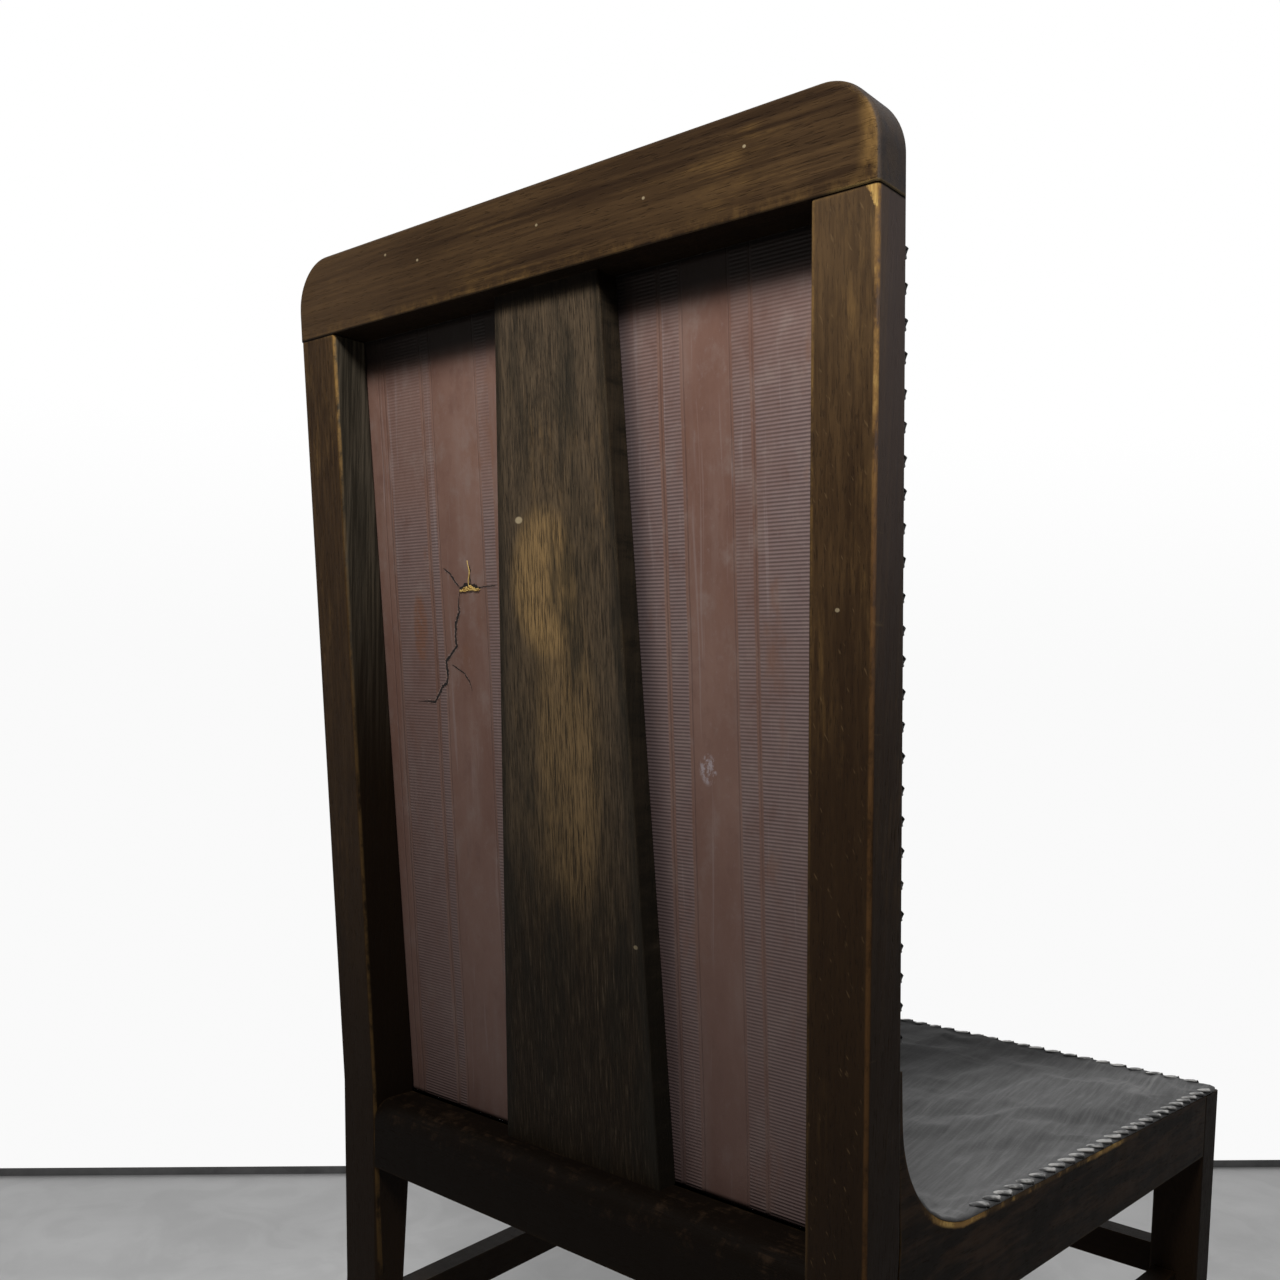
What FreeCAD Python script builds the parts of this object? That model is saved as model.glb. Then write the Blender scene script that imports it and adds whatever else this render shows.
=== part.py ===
import FreeCAD, Part
import math
import os

# Side chair with a laced leather seat and back. Millimetres, Z up, floor at Z = 0,
# the front towards -Y, the sitter's left towards +X.

# Overall sizes
seat_rail_height = 405.0      # floor to the bottom of the rear seat rail
back_height = 570.0           # rear rail bottom to crest bottom
crest_height = 50.0
crest_overhang = 0.3          # crest past the post on each side
crest_proud = 0.5             # crest past the back of the posts
crest_thickness = 26.0
crest_corner_radius = 31.0
back_width_top = 444.0        # over the posts under the crest
back_width_seat = 431.0       # over the posts at the seat
front_width = 483.0           # over the front legs
seat_depth = 498.5            # post back at the seat to the front face

# Rear posts, each one stick from the floor to the crest
post_width = 36.5
post_depth_top = 26.0
post_depth_seat = 36.0
post_depth_low = 25.0
post_depth_foot = 24.0
post_rake = 38.7              # how far the top leans back behind the seat
post_low_drop = 92.0          # rear rail bottom down to the slimmest stretch
post_low_inset = 5.0          # the back is this far forward there
post_foot_set = 6.0           # the foot is this far behind the seat's back line
edge_round = 2.5

# Front legs and stretchers
leg_width = 37.5
leg_depth = 27.0
leg_foot_share = 0.84         # foot size against the leg's full section
leg_taper_height = 300.0
side_stretcher_top = 302.0
side_stretcher_height = 25.0
side_stretcher_width = 17.0
side_stretcher_inset = 15.0   # outer face of the rail to the outer face of the stretcher
front_stretcher_top = 318.0
front_stretcher_height = 24.5
front_stretcher_width = 18.0

# Seat rails
rail_thickness = 23.0
rear_rail_height = 47.0
rear_rail_depth = 38.0
rear_rail_round = 13.0
rear_rail_setback = 1.0       # behind it the posts stand proud
side_rail_drop = 6.0          # side and front rails reach this far under the rear one
horn_height = 150.0           # side rail's upswept end above the rear rail bottom
front_rail_setback = 2.0

# Seat and back surface, taken at the outer face of the leather
seat_top_rear = 54.5          # above the rear rail bottom, at the foot of the sweep
seat_top_front = 43.5
sweep_radius = 77.0
leather_thickness = 2.5
lining_thickness = 1.2
felt_thickness = 1.8
lining_top_gap = 0.3          # top edge of lining and felt under the crest
leather_lap = 6.0             # leather up over the front of the crest
leather_inset = 4.0           # leather's edge on the back, in from the outer face of the posts
leather_corner_radius = 6.0   # front corners of the seat
felt_margin = 11.5            # felt's edge in from the outer face of the posts
lining_margin = 7.5
lining_foot = 0.3             # lining's lower edge above the rear rail

# Splat
splat_width_top = 83.0
splat_width_foot = 130.0
splat_thickness = 16.0

# Seat inside
block_leg = 55.0
block_height = 20.0
block_base = 3.0              # above the rear rail bottom
screw_diameter = 4.0
screw_head = 7.5
screw_length = 34.0
screw_head_height = 2.5
screw_bite = 14.0             # block left under a screw's head
screw_edge = 5.5              # screw's line in from the block's top or bottom
screw_place = 0.45            # along the block's leg
strap_width = 50.0
strap_thickness = 1.6
strap_count = 4
strap_ledge = 12.0            # rebate in the rails that carries the straps
rear_ledge = 5.0
strap_level = 24.0            # ledge above the rear rail bottom
hessian_thickness = 1.0
tack_shank = 1.6
tack_head = 5.0
tack_head_height = 1.0
tack_length = 9.0
tack_spacing = 24.0

# Joints
tenon_thickness = 10.0
tenon_length = 15.0
tenon_shoulder = 8.0
stretcher_tenon_thickness = 9.0
stretcher_shoulder = 5.0
splat_tenon = 10.0
dowel_diameter = 8.0
dowel_length = 36.0
dowel_spacing = 16.0
fit_clearance = 0.15
layer_gap = 0.1

# Lacing thong over the leather's edges
thong_width = 5.0
thong_thickness = 1.4
thong_reach = 9.0             # over the face of the leather
thong_drop = 6.0              # down past the edge of the seat
thong_back_drop = 5.2         # down past the edge of the back, short of the posts
thong_slant = 6.0             # sideways run over its reach
thong_side_slant = 3.0
seat_lace_pitch = 14.0
back_lace_pitch = 16.0

# Levels and lines worked out from the sizes above
rail_bottom = seat_rail_height
crest_bottom = rail_bottom + back_height
crest_top = crest_bottom + crest_height
rear_rail_top = rail_bottom + rear_rail_height
seat_level = rail_bottom + seat_top_rear
side_rail_bottom = rail_bottom - side_rail_drop
low_level = rail_bottom - post_low_drop
rake_slope = post_rake / (crest_bottom - seat_level)
front_slope = (post_rake + post_depth_seat - post_depth_top) / (crest_bottom - seat_level)
rear_reach = post_rake + rake_slope * crest_height + crest_proud
lace_proud = thong_thickness + layer_gap
back_line = (seat_depth + lace_proud - rear_reach) / 2
front_line = back_line - seat_depth
leg_back = front_line + leg_depth
inner_front = front_line + front_rail_setback + rail_thickness
inner_rear = back_line - rear_rail_setback - rear_rail_depth
horn_top = rail_bottom + horn_height
far = 2 * seat_depth


def back_y(height):
    """Back face of a post above the seat."""
    return back_line + rake_slope * (height - seat_level)


def front_y(height):
    """Front face of a post above the seat."""
    return back_line - post_depth_seat + front_slope * (height - seat_level)


def outer_x(height):
    """Outer face of a post, which leans out towards the crest."""
    lean = (back_width_top - back_width_seat) / 2 / (crest_bottom - seat_level)
    return back_width_seat / 2 + lean * max(height - seat_level, 0.0)


splay = (front_width - back_width_seat) / 2 / (seat_depth - post_depth_seat)


def rail_x(y):
    """Outer face of a side rail, which splays towards the front."""
    return back_width_seat / 2 + splay * (front_y(seat_level) - y)


def vec(x, y, z):
    return FreeCAD.Vector(x, y, z)


def polygon(points):
    return Part.Face(Part.makePolygon(points + points[:1]))


def plan_prism(corners, bottom, top):
    """Upright prism over corners given as (x, y)."""
    return polygon([vec(x, y, bottom) for x, y in corners]).extrude(vec(0, 0, top - bottom))


def side_prism(corners, x0, x1):
    """Prism across X over corners given as (y, z)."""
    return polygon([vec(x0, y, z) for y, z in corners]).extrude(vec(x1 - x0, 0, 0))


def box(x0, x1, y0, y1, z0, z1):
    return Part.makeBox(x1 - x0, y1 - y0, z1 - z0, vec(x0, y0, z0))


def mirrored(shape):
    return shape.mirror(vec(0, 0, 0), vec(1, 0, 0))


def rounded(shape, radius, chosen):
    """Rounds the edges that the test picks."""
    return shape.makeFillet(radius, [edge for edge in shape.Edges if chosen(edge)])


def rises(edge, least):
    box_of_edge = edge.BoundBox
    return box_of_edge.ZLength > least


class Surface:
    """Leather's outer line in the YZ plane, moved into the chair by a depth: back, sweep, seat."""

    def __init__(self, depth):
        lean = math.atan(front_slope)
        seat_run = front_y(seat_level) - front_line
        rise = math.atan((seat_top_front - seat_top_rear) / seat_run)
        stack = lining_thickness + felt_thickness + leather_thickness
        self.radius = sweep_radius + depth
        back_normal = vec(0, -math.cos(lean), math.sin(lean))
        seat_normal = vec(0, math.sin(rise), math.cos(rise))
        back_point = vec(0, front_y(seat_level), seat_level) + back_normal * (stack - depth)
        seat_point = vec(0, front_y(seat_level), seat_level) - seat_normal * depth
        self.back_way = vec(0, math.sin(lean), math.cos(lean))
        self.seat_way = vec(0, -math.cos(rise), math.sin(rise))
        self.back_point = back_point
        self.seat_point = seat_point
        back_reach = back_point + back_normal * self.radius
        seat_reach = seat_point + seat_normal * self.radius
        across = (seat_reach - back_reach).dot(seat_normal) / self.back_way.dot(seat_normal)
        self.centre = back_reach + self.back_way * across
        self.sweep_top = self.centre - back_normal * self.radius
        self.sweep_foot = self.centre - seat_normal * self.radius
        middle = (back_normal + seat_normal).normalize()
        self.sweep_middle = self.centre - middle * self.radius

    def on_back(self, height):
        run = (height - self.back_point.z) / self.back_way.z
        return self.back_point + self.back_way * run

    def on_seat(self, y):
        run = (y - self.seat_point.y) / self.seat_way.y
        return self.seat_point + self.seat_way * run

    def edges(self, top, front):
        """From the top of the back down to the front of the seat."""
        return [
            Part.LineSegment(self.on_back(top), self.sweep_top).toShape(),
            Part.Arc(self.sweep_top, self.sweep_middle, self.sweep_foot).toShape(),
            Part.LineSegment(self.sweep_foot, self.on_seat(front)).toShape(),
        ]


leather_face = Surface(0.0)
leather_under = Surface(leather_thickness)
wadding_face = Surface(leather_thickness + layer_gap)
lining_top = crest_bottom - lining_top_gap
leather_top = crest_bottom + leather_lap


def closed_face(edges, points):
    """Face in the YZ plane closed by straight lines through the given points."""
    chain = [edges[-1].Vertexes[-1].Point] + points + [edges[0].Vertexes[0].Point]
    lines = [Part.LineSegment(a, b).toShape() for a, b in zip(chain, chain[1:])]
    return Part.Face(Part.Wire(edges + lines))


def across(face, half):
    """Face drawn at X = 0, extruded to both sides."""
    face.translate(vec(-half, 0, 0))
    return face.extrude(vec(2 * half, 0, 0))


def seat_plan(inset, front, rear, bottom, top):
    """Upright prism between the side rails' outer faces, drawn in by an inset."""
    corners = [(rail_x(front) - inset, front), (rail_x(rear) - inset, rear)]
    corners += [(-x, y) for x, y in reversed(corners)]
    return plan_prism(corners, bottom, top)


def back_plan(inset, bottom, top):
    """Prism along Y between the posts' outer faces, drawn in by an inset."""
    points = [(outer_x(bottom) - inset, bottom), (outer_x(top) - inset, top)]
    points += [(-x, z) for x, z in reversed(points)]
    return polygon([vec(x, -far, z) for x, z in points]).extrude(vec(0, 2 * far, 0))


post_levels = [
    (0.0, back_line + post_foot_set, post_depth_foot),
    (low_level, back_line - post_low_inset, post_depth_low),
    (seat_level, back_y(seat_level), post_depth_seat),
    (crest_bottom, back_y(crest_bottom), post_depth_top),
]


def post_front(height):
    """Front face of a post at any height."""
    for (z0, y0, d0), (z1, y1, d1) in zip(post_levels, post_levels[1:]):
        if height <= z1:
            share = (height - z0) / (z1 - z0)
            return y0 - d0 + share * (y1 - d1 - y0 + d0)


def rounded_section(x0, x1, y0, y1, level, radius):
    """Level rectangle with rounded corners, as a wire."""
    slack = radius * (1 - math.sqrt(0.5))
    corners = [(x0, y0, 1, 1), (x1, y0, -1, 1), (x1, y1, -1, -1), (x0, y1, 1, -1)]
    starts, middles, ends = [], [], []
    for number, (x, y, sx, sy) in enumerate(corners):
        along_x = vec(x + sx * radius, y, level)
        along_y = vec(x, y + sy * radius, level)
        starts.append(along_x if number % 2 else along_y)
        middles.append(vec(x + sx * slack, y + sy * slack, level))
        ends.append(along_y if number % 2 else along_x)
    edges = []
    for number in range(4):
        edges.append(Part.Arc(starts[number], middles[number], ends[number]).toShape())
        edges.append(Part.LineSegment(ends[number], starts[(number + 1) % 4]).toShape())
    return Part.Wire(edges)


def rear_post():
    """Left post: one stick, slim at the floor, deepest at the seat, raked above it."""
    sections = []
    for level, back, depth in post_levels:
        x = outer_x(level)
        sections.append(rounded_section(x - post_width, x, back - depth, back, level, edge_round))
    return Part.makeLoft(sections, True, True)


def crest_rail():
    """Board over the posts, raked like them, with rounded upper corners."""
    y_low = back_y(crest_bottom) + crest_proud
    y_high = back_y(crest_top) + crest_proud
    half = back_width_top / 2 + crest_overhang
    side = [(y_low - crest_thickness, crest_bottom), (y_low, crest_bottom)]
    side += [(y_high, crest_top), (y_high - crest_thickness, crest_top)]
    board = side_prism(side, -half, half)
    blank = box(-half, half, -far, far, crest_bottom, crest_top)
    outline = rounded(blank, crest_corner_radius, lambda edge: is_top_corner(edge))
    board = board.common(outline)
    return rounded(board, edge_round, lambda edge: edge.CenterOfMass.z > crest_bottom + edge_round)


def is_top_corner(edge):
    return edge.BoundBox.YLength > far and edge.CenterOfMass.z > crest_bottom + crest_height / 2


def rear_seat_rail(posts):
    """Rear rail between the posts with a broad round top at the back."""
    back = back_line - rear_rail_setback
    half = outer_x(rear_rail_top) - post_width
    rail = box(-half, half, inner_rear, back, rail_bottom, rear_rail_top)
    rail = rounded(rail, rear_rail_round, lambda edge: is_back_top(edge, back))
    return rail.cut(posts)


def is_back_top(edge, back):
    middle = edge.CenterOfMass
    return abs(middle.y - back) < fit_clearance and abs(middle.z - rear_rail_top) < fit_clearance


def rail_band(inset, thickness, bottom, top, front):
    """Upright band that follows the left side's splay from the front to the posts."""
    rear = front_y(seat_level) + post_depth_seat
    corners = [(rail_x(front) - inset, front), (rail_x(rear) - inset, rear)]
    corners += [(x - thickness, y) for x, y in reversed(corners)]
    return plan_prism(corners, bottom, top)


def side_rail():
    """Left rail: flat below, its top under the leather, its rear end swept up the post."""
    edges = leather_under.edges(horn_top, leg_back)
    points = [vec(0, leg_back, side_rail_bottom)]
    points += [vec(0, post_front(z), z) for z in (side_rail_bottom, seat_level, horn_top)]
    blank = across(closed_face(edges, points), far)
    return blank.common(rail_band(0.0, rail_thickness, 0.0, crest_bottom, leg_back))


def front_leg():
    """Left front leg: straight under the seat, then tapered to the foot."""
    x = rail_x(front_line)
    section = [(x - leg_width, front_line), (x, front_line)]
    section += [(rail_x(leg_back), leg_back), (x - leg_width, leg_back)]
    centre_x = x - leg_width / 2
    centre_y = front_line + leg_depth / 2
    foot = [(centre_x + (cx - centre_x) * leg_foot_share, centre_y + (cy - centre_y) * leg_foot_share)
            for cx, cy in section]
    top = min(leather_under.on_seat(y).z for y in (front_line, leg_back))
    upper = plan_prism(section, leg_taper_height, top)
    wires = []
    for corners, level in ((foot, 0.0), (section, leg_taper_height)):
        points = [vec(cx, cy, level) for cx, cy in corners]
        wires.append(Part.makePolygon(points + points[:1]))
    leg = Part.makeLoft(wires, True, True).fuse(upper).removeSplitter()
    return rounded(leg, edge_round, lambda edge: rises(edge, leg_width))


def front_seat_rail(legs):
    """Front rail between the legs, its top following the leather."""
    front = front_line + front_rail_setback
    edges = [Part.LineSegment(leather_under.on_seat(front + rail_thickness),
                              leather_under.on_seat(front)).toShape()]
    points = [vec(0, front, side_rail_bottom), vec(0, front + rail_thickness, side_rail_bottom)]
    rail = across(closed_face(edges, points), rail_x(front_line) - leg_width / 2)
    return rail.cut(legs)


def side_stretcher(leg):
    """Left stretcher between the front leg and the post, along the side's splay."""
    bottom = side_stretcher_top - side_stretcher_height
    corners = [(front_line, bottom), (post_front(bottom), bottom)]
    corners += [(post_front(side_stretcher_top), side_stretcher_top), (front_line, side_stretcher_top)]
    bar = side_prism(corners, 0, far)
    bar = bar.common(rail_band(side_stretcher_inset, side_stretcher_width, 0, crest_bottom, leg_back))
    return bar.cut(leg)


def front_stretcher(legs):
    """Stretcher between the front legs, in the middle of their depth."""
    half = rail_x(front_line) - leg_width / 2
    middle = front_line + leg_depth / 2
    bar = box(-half, half, middle - front_stretcher_width / 2, middle + front_stretcher_width / 2,
              front_stretcher_top - front_stretcher_height, front_stretcher_top)
    return bar.cut(legs)


def peg_box(x0, x1, y0, y1, z0, z1):
    """A straight tenon and the mortise that takes it."""
    c = fit_clearance
    return box(x0, x1, y0, y1, z0, z1), box(x0 - c, x1 + c, y0 - c, y1 + c, z0 - c, z1 + c)


def cross_tenons(shoulder, middle, thickness, bottom, top):
    """Tenons at both ends of a rail along X, as one bar and the slot for it."""
    half = shoulder + tenon_length
    return peg_box(-half, half, middle - thickness / 2, middle + thickness / 2, bottom, top)


def side_tenons(inset, thickness, bottom, top):
    """Tenons at both ends of a left rail along its splay, as one bar and the slot for it."""
    x = back_width_seat / 2 - inset
    rear = post_front((bottom + top) / 2) + tenon_length
    shapes = peg_box(x - thickness / 2, x + thickness / 2, leg_back - tenon_length, rear, bottom, top)
    turn = math.degrees(math.atan(splay))
    for shape in shapes:
        shape.rotate(vec(back_width_seat / 2, front_y(seat_level), 0), vec(0, 0, 1), turn)
    return shapes


def back_splat():
    """Tapered board between the rear rail and the crest, flat against the lining."""
    side = [(front_y(rear_rail_top), rear_rail_top), (front_y(crest_bottom), crest_bottom)]
    side += [(y + splat_thickness, z) for y, z in reversed(side)]
    board = side_prism(side, -splat_width_foot, splat_width_foot)
    face = [(splat_width_foot / 2, rear_rail_top), (splat_width_top / 2, crest_bottom)]
    face += [(-x, z) for x, z in reversed(face)]
    outline = polygon([vec(x, -far, z) for x, z in face]).extrude(vec(0, 2 * far, 0))
    board = board.common(outline)
    return rounded(board, edge_round / 2, lambda edge: rises(edge, back_height / 2))


def splat_tenon_pair(level, width, way):
    """Tenon at one end of the splat, and its mortise."""
    middle = front_y(level) + splat_thickness / 2
    half = width / 2 - tenon_shoulder
    low, high = sorted((level - way, level + way * splat_tenon))
    return peg_box(-half, half, middle - tenon_thickness / 2, middle + tenon_thickness / 2, low, high)


def crest_dowels():
    """Two dowels in each post's top, half their length in the crest."""
    dowels = []
    middle = back_y(crest_bottom) - post_depth_top / 2
    for side in (-1, 1):
        for step in (-0.5, 0.5):
            x = side * (outer_x(crest_bottom) - post_width / 2) + step * dowel_spacing
            base = vec(x, middle, crest_bottom - dowel_length / 2)
            dowels.append((Part.makeCylinder(dowel_diameter / 2, dowel_length, base),
                           Part.makeCylinder(dowel_diameter / 2 + fit_clearance,
                                             dowel_length + 2 * fit_clearance,
                                             base - vec(0, 0, fit_clearance))))
    return dowels


def corner_block(y, way, neighbours):
    """Left glue block in an inner corner of the seat frame, and its two screws as (screw, hole)."""
    corner_x = rail_x(y) - rail_thickness
    far_y = y + way * block_leg
    corners = [(corner_x, y), (rail_x(far_y) - rail_thickness, far_y), (corner_x - block_leg, y)]
    base = rail_bottom + block_base
    block = plan_prism(corners, base, base + block_height).cut(neighbours)
    aside = block_leg * screw_place
    side_y = y + way * aside
    side_head = vec(rail_x(side_y) - rail_thickness - screw_bite, side_y, base + screw_edge)
    end_head = vec(corner_x - aside, y + way * screw_bite, base + block_height - screw_edge)
    return block, [screw(side_head, vec(1, 0, 0)), screw(end_head, vec(0, -way, 0))]


def screw(head, way):
    """Flat-headed screw, and its stepped hole, open behind the head."""
    shank = Part.makeCylinder(screw_diameter / 2, screw_length, head, way)
    cap = Part.makeCylinder(screw_head / 2, screw_head_height, head, way)
    bore = Part.makeCylinder(screw_diameter / 2 + fit_clearance, screw_length + fit_clearance, head, way)
    mouth = head - way * block_leg
    wide = Part.makeCylinder(screw_head / 2 + fit_clearance, block_leg + screw_head_height, mouth, way)
    return shank.fuse(cap), bore.fuse(wide)


def straps():
    """Webbing straps, lengthwise ones below and crosswise ones above."""
    level = rail_bottom + strap_level
    front = inner_front - strap_ledge + layer_gap
    rear = inner_rear + rear_ledge - layer_gap
    pitch = (back_width_seat - 2 * rail_thickness) / strap_count
    lengthwise = []
    for number in range(strap_count):
        x = (number - (strap_count - 1) / 2) * pitch
        lengthwise.append(box(x - strap_width / 2, x + strap_width / 2, front, rear,
                              level, level + strap_thickness))
    crosswise = []
    run = (inner_rear - inner_front) / strap_count
    for number in range(strap_count):
        y = inner_front + (number + 0.5) * run
        half = rail_x(y + strap_width / 2) - rail_thickness + strap_ledge - layer_gap
        crosswise.append(box(-half, half, y - strap_width / 2, y + strap_width / 2,
                             level + strap_thickness, level + 2 * strap_thickness))
    return lengthwise, crosswise


def ledge():
    """Space of the rebate that carries the straps, inside the four rails."""
    return seat_plan(rail_thickness - strap_ledge, inner_front - strap_ledge,
                     inner_rear + rear_ledge, rail_bottom + strap_level, rear_rail_top)


def in_ledge(bottom, top):
    """Room inside the rebate between two levels, clear of its walls."""
    return seat_plan(rail_thickness - strap_ledge + layer_gap, inner_front - strap_ledge + layer_gap,
                     inner_rear - layer_gap, bottom, top)


def strap_tacks(lengthwise, crosswise):
    """Two tacks through each end of every strap, each with its hole."""
    tacks = []
    for strap in lengthwise:
        bounds = strap.BoundBox
        for y in (bounds.YMin + strap_ledge / 2, bounds.YMax - rear_ledge / 2):
            for step in (-0.5, 0.5):
                tacks.append(tack(bounds.Center.x + step * tack_spacing, y, bounds.ZMax))
    for strap in crosswise:
        bounds = strap.BoundBox
        for x in (bounds.XMin + strap_ledge / 2, bounds.XMax - strap_ledge / 2):
            for step in (-0.5, 0.5):
                tacks.append(tack(x, bounds.Center.y + step * tack_spacing, bounds.ZMax))
    return tacks


def tack(x, y, level):
    """Tack with its head on a strap, and the hole for its shank."""
    base = vec(x, y, level + tack_head_height - tack_length)
    shank = Part.makeCylinder(tack_shank / 2, tack_length, base)
    head = Part.makeCylinder(tack_head / 2, tack_head_height, vec(x, y, level))
    hole_base = base - vec(0, 0, fit_clearance)
    hole = Part.makeCylinder(tack_shank / 2 + fit_clearance, tack_length, hole_base)
    return shank.fuse(head), hole


def is_front_corner(edge):
    return rises(edge, crest_height) and edge.CenterOfMass.y < leg_back


def leather_cover():
    """One hide from the top of the back down the sweep to the front of the seat."""
    edges = leather_face.edges(leather_top, front_line)
    edges += leather_under.edges(leather_top, front_line)
    edges.append(Part.LineSegment(leather_face.on_back(leather_top),
                                  leather_under.on_back(leather_top)).toShape())
    edges.append(Part.LineSegment(leather_face.on_seat(front_line),
                                  leather_under.on_seat(front_line)).toShape())
    sheet = across(Part.Face(Part.Wire(Part.sortEdges(edges)[0])), far)
    split = leather_face.sweep_top.z
    plan = seat_plan(0.0, front_line, back_line, 0.0, split)
    plan = rounded(plan, leather_corner_radius, is_front_corner)
    seat = sheet.common(plan)
    back = sheet.common(back_plan(leather_inset, split, crest_top))
    return seat.fuse(back).removeSplitter()


def back_lining():
    """Ribbed lining sheet on the posts' fronts."""
    foot = rear_rail_top + lining_foot
    side = [(front_y(foot), foot), (front_y(lining_top), lining_top)]
    side += [(y - lining_thickness, z) for y, z in reversed(side)]
    sheet = side_prism(side, -far, far)
    upper = sheet.common(back_plan(lining_margin, horn_top, lining_top))
    lower = sheet.common(back_plan(rail_thickness + lining_margin, foot, horn_top))
    return upper.fuse(lower).removeSplitter()


def stuffing():
    """All the room between the lining, the straps' cover and the leather."""
    gap = lining_thickness + layer_gap
    low = rail_bottom
    edges = wadding_face.edges(lining_top, front_line)
    points = [vec(0, front_line, low), vec(0, front_y(low) - gap, low)]
    points += [vec(0, front_y(lining_top) - gap, wadding_face.on_back(lining_top).z)]
    return across(closed_face(edges, points), far)


def back_wadding(room):
    """Felt over the back, thickening into the roll behind the sweep."""
    upper = room.common(back_plan(felt_margin, horn_top, lining_top))
    lower = room.common(seat_plan(rail_thickness + layer_gap, front_line, back_line,
                                  rear_rail_top + layer_gap, horn_top))
    return upper.fuse(lower).removeSplitter()


def seat_wadding(room):
    """Pad inside the rails, on the straps' cover."""
    bottom = hessian_level() + hessian_thickness + layer_gap
    return room.common(in_ledge(bottom, rear_rail_top))


def hessian_level():
    return rail_bottom + strap_level + 2 * strap_thickness + tack_head_height


def stitch(corner, along, inward, up, drop):
    """One turn of the thong: over the leather's face and down past its edge."""
    def at(run, reach, rise):
        return corner + along * run + inward * reach + up * rise

    outside = -layer_gap - thong_thickness
    face = polygon([at(0, outside, layer_gap), at(thong_width, outside, layer_gap),
                    at(thong_width + thong_slant, thong_reach, layer_gap),
                    at(thong_slant, thong_reach, layer_gap)])
    over = face.extrude(up * thong_thickness)
    top = layer_gap + thong_thickness
    face = polygon([at(0, -layer_gap, top), at(thong_width, -layer_gap, top),
                    at(thong_width - thong_side_slant, -layer_gap, -drop),
                    at(-thong_side_slant, -layer_gap, -drop)])
    down = face.extrude(inward * -thong_thickness)
    return over.fuse(down)


def lacing(start, end, inward, up, pitch, drop):
    """Stitches at an even pitch along a straight edge."""
    way = end - start
    length = way.Length
    along = way.normalize()
    count = int(length / pitch)
    first = (length - (count - 1) * pitch - thong_width) / 2
    stitches = []
    for number in range(count):
        corner = start + along * (first + number * pitch)
        stitches.append(stitch(corner, along, inward, up, drop))
    return stitches


def seat_edge_lacing():
    """Left edge of the seat, from the front corner to the foot of the sweep."""
    front = leather_face.on_seat(front_line + thong_reach + thong_slant)
    rear = leather_face.on_seat(leather_face.sweep_foot.y - thong_slant)
    start = vec(rail_x(front.y), front.y, front.z)
    end = vec(rail_x(rear.y), rear.y, rear.z)
    inward = vec(-math.cos(math.atan(splay)), -math.sin(math.atan(splay)), 0)
    up = (end - start).cross(inward).normalize()
    return lacing(start, end, inward, up, seat_lace_pitch, thong_drop)


def back_edge_lacing():
    """Left edge of the back, from the tip of the side rail to the crest."""
    low = leather_face.on_back(max(horn_top, leather_face.sweep_top.z))
    high = leather_face.on_back(lining_top - thong_slant)
    start = vec(outer_x(low.z) - leather_inset, low.y, low.z)
    end = vec(outer_x(high.z) - leather_inset, high.y, high.z)
    inward = (end - start).cross(vec(0, 1, 0)).normalize()
    up = (end - start).cross(inward).normalize()
    return lacing(start, end, inward, up, back_lace_pitch, thong_back_drop)


def front_edge_lacing():
    """Front edge of the seat, the stitches lying on its slope."""
    edge = leather_face.on_seat(front_line)
    inward = (leather_face.on_seat(leg_back) - edge).normalize()
    edge -= inward * layer_gap
    half = rail_x(front_line) - thong_reach - thong_slant
    start = vec(-half, edge.y, edge.z)
    end = vec(half, edge.y, edge.z)
    up = (end - start).cross(inward).normalize()
    return lacing(start, end, inward, up, seat_lace_pitch, thong_drop)


def leg_room():
    """Corners round the left front leg that the soft layers keep clear of."""
    inner = rail_x(front_line) - leg_width - layer_gap
    rear = leg_back + layer_gap
    return [(inner, front_line), (rail_x(front_line), front_line), (rail_x(rear), rear), (inner, rear)]


def group(solids):
    return Part.makeCompound(solids)


def both(left):
    """The left shape with its mirror image."""
    return group([left, mirrored(left)])


def first_of(pairs):
    return [first for first, second in pairs]


def second_of(pairs):
    return [second for first, second in pairs]


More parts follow.
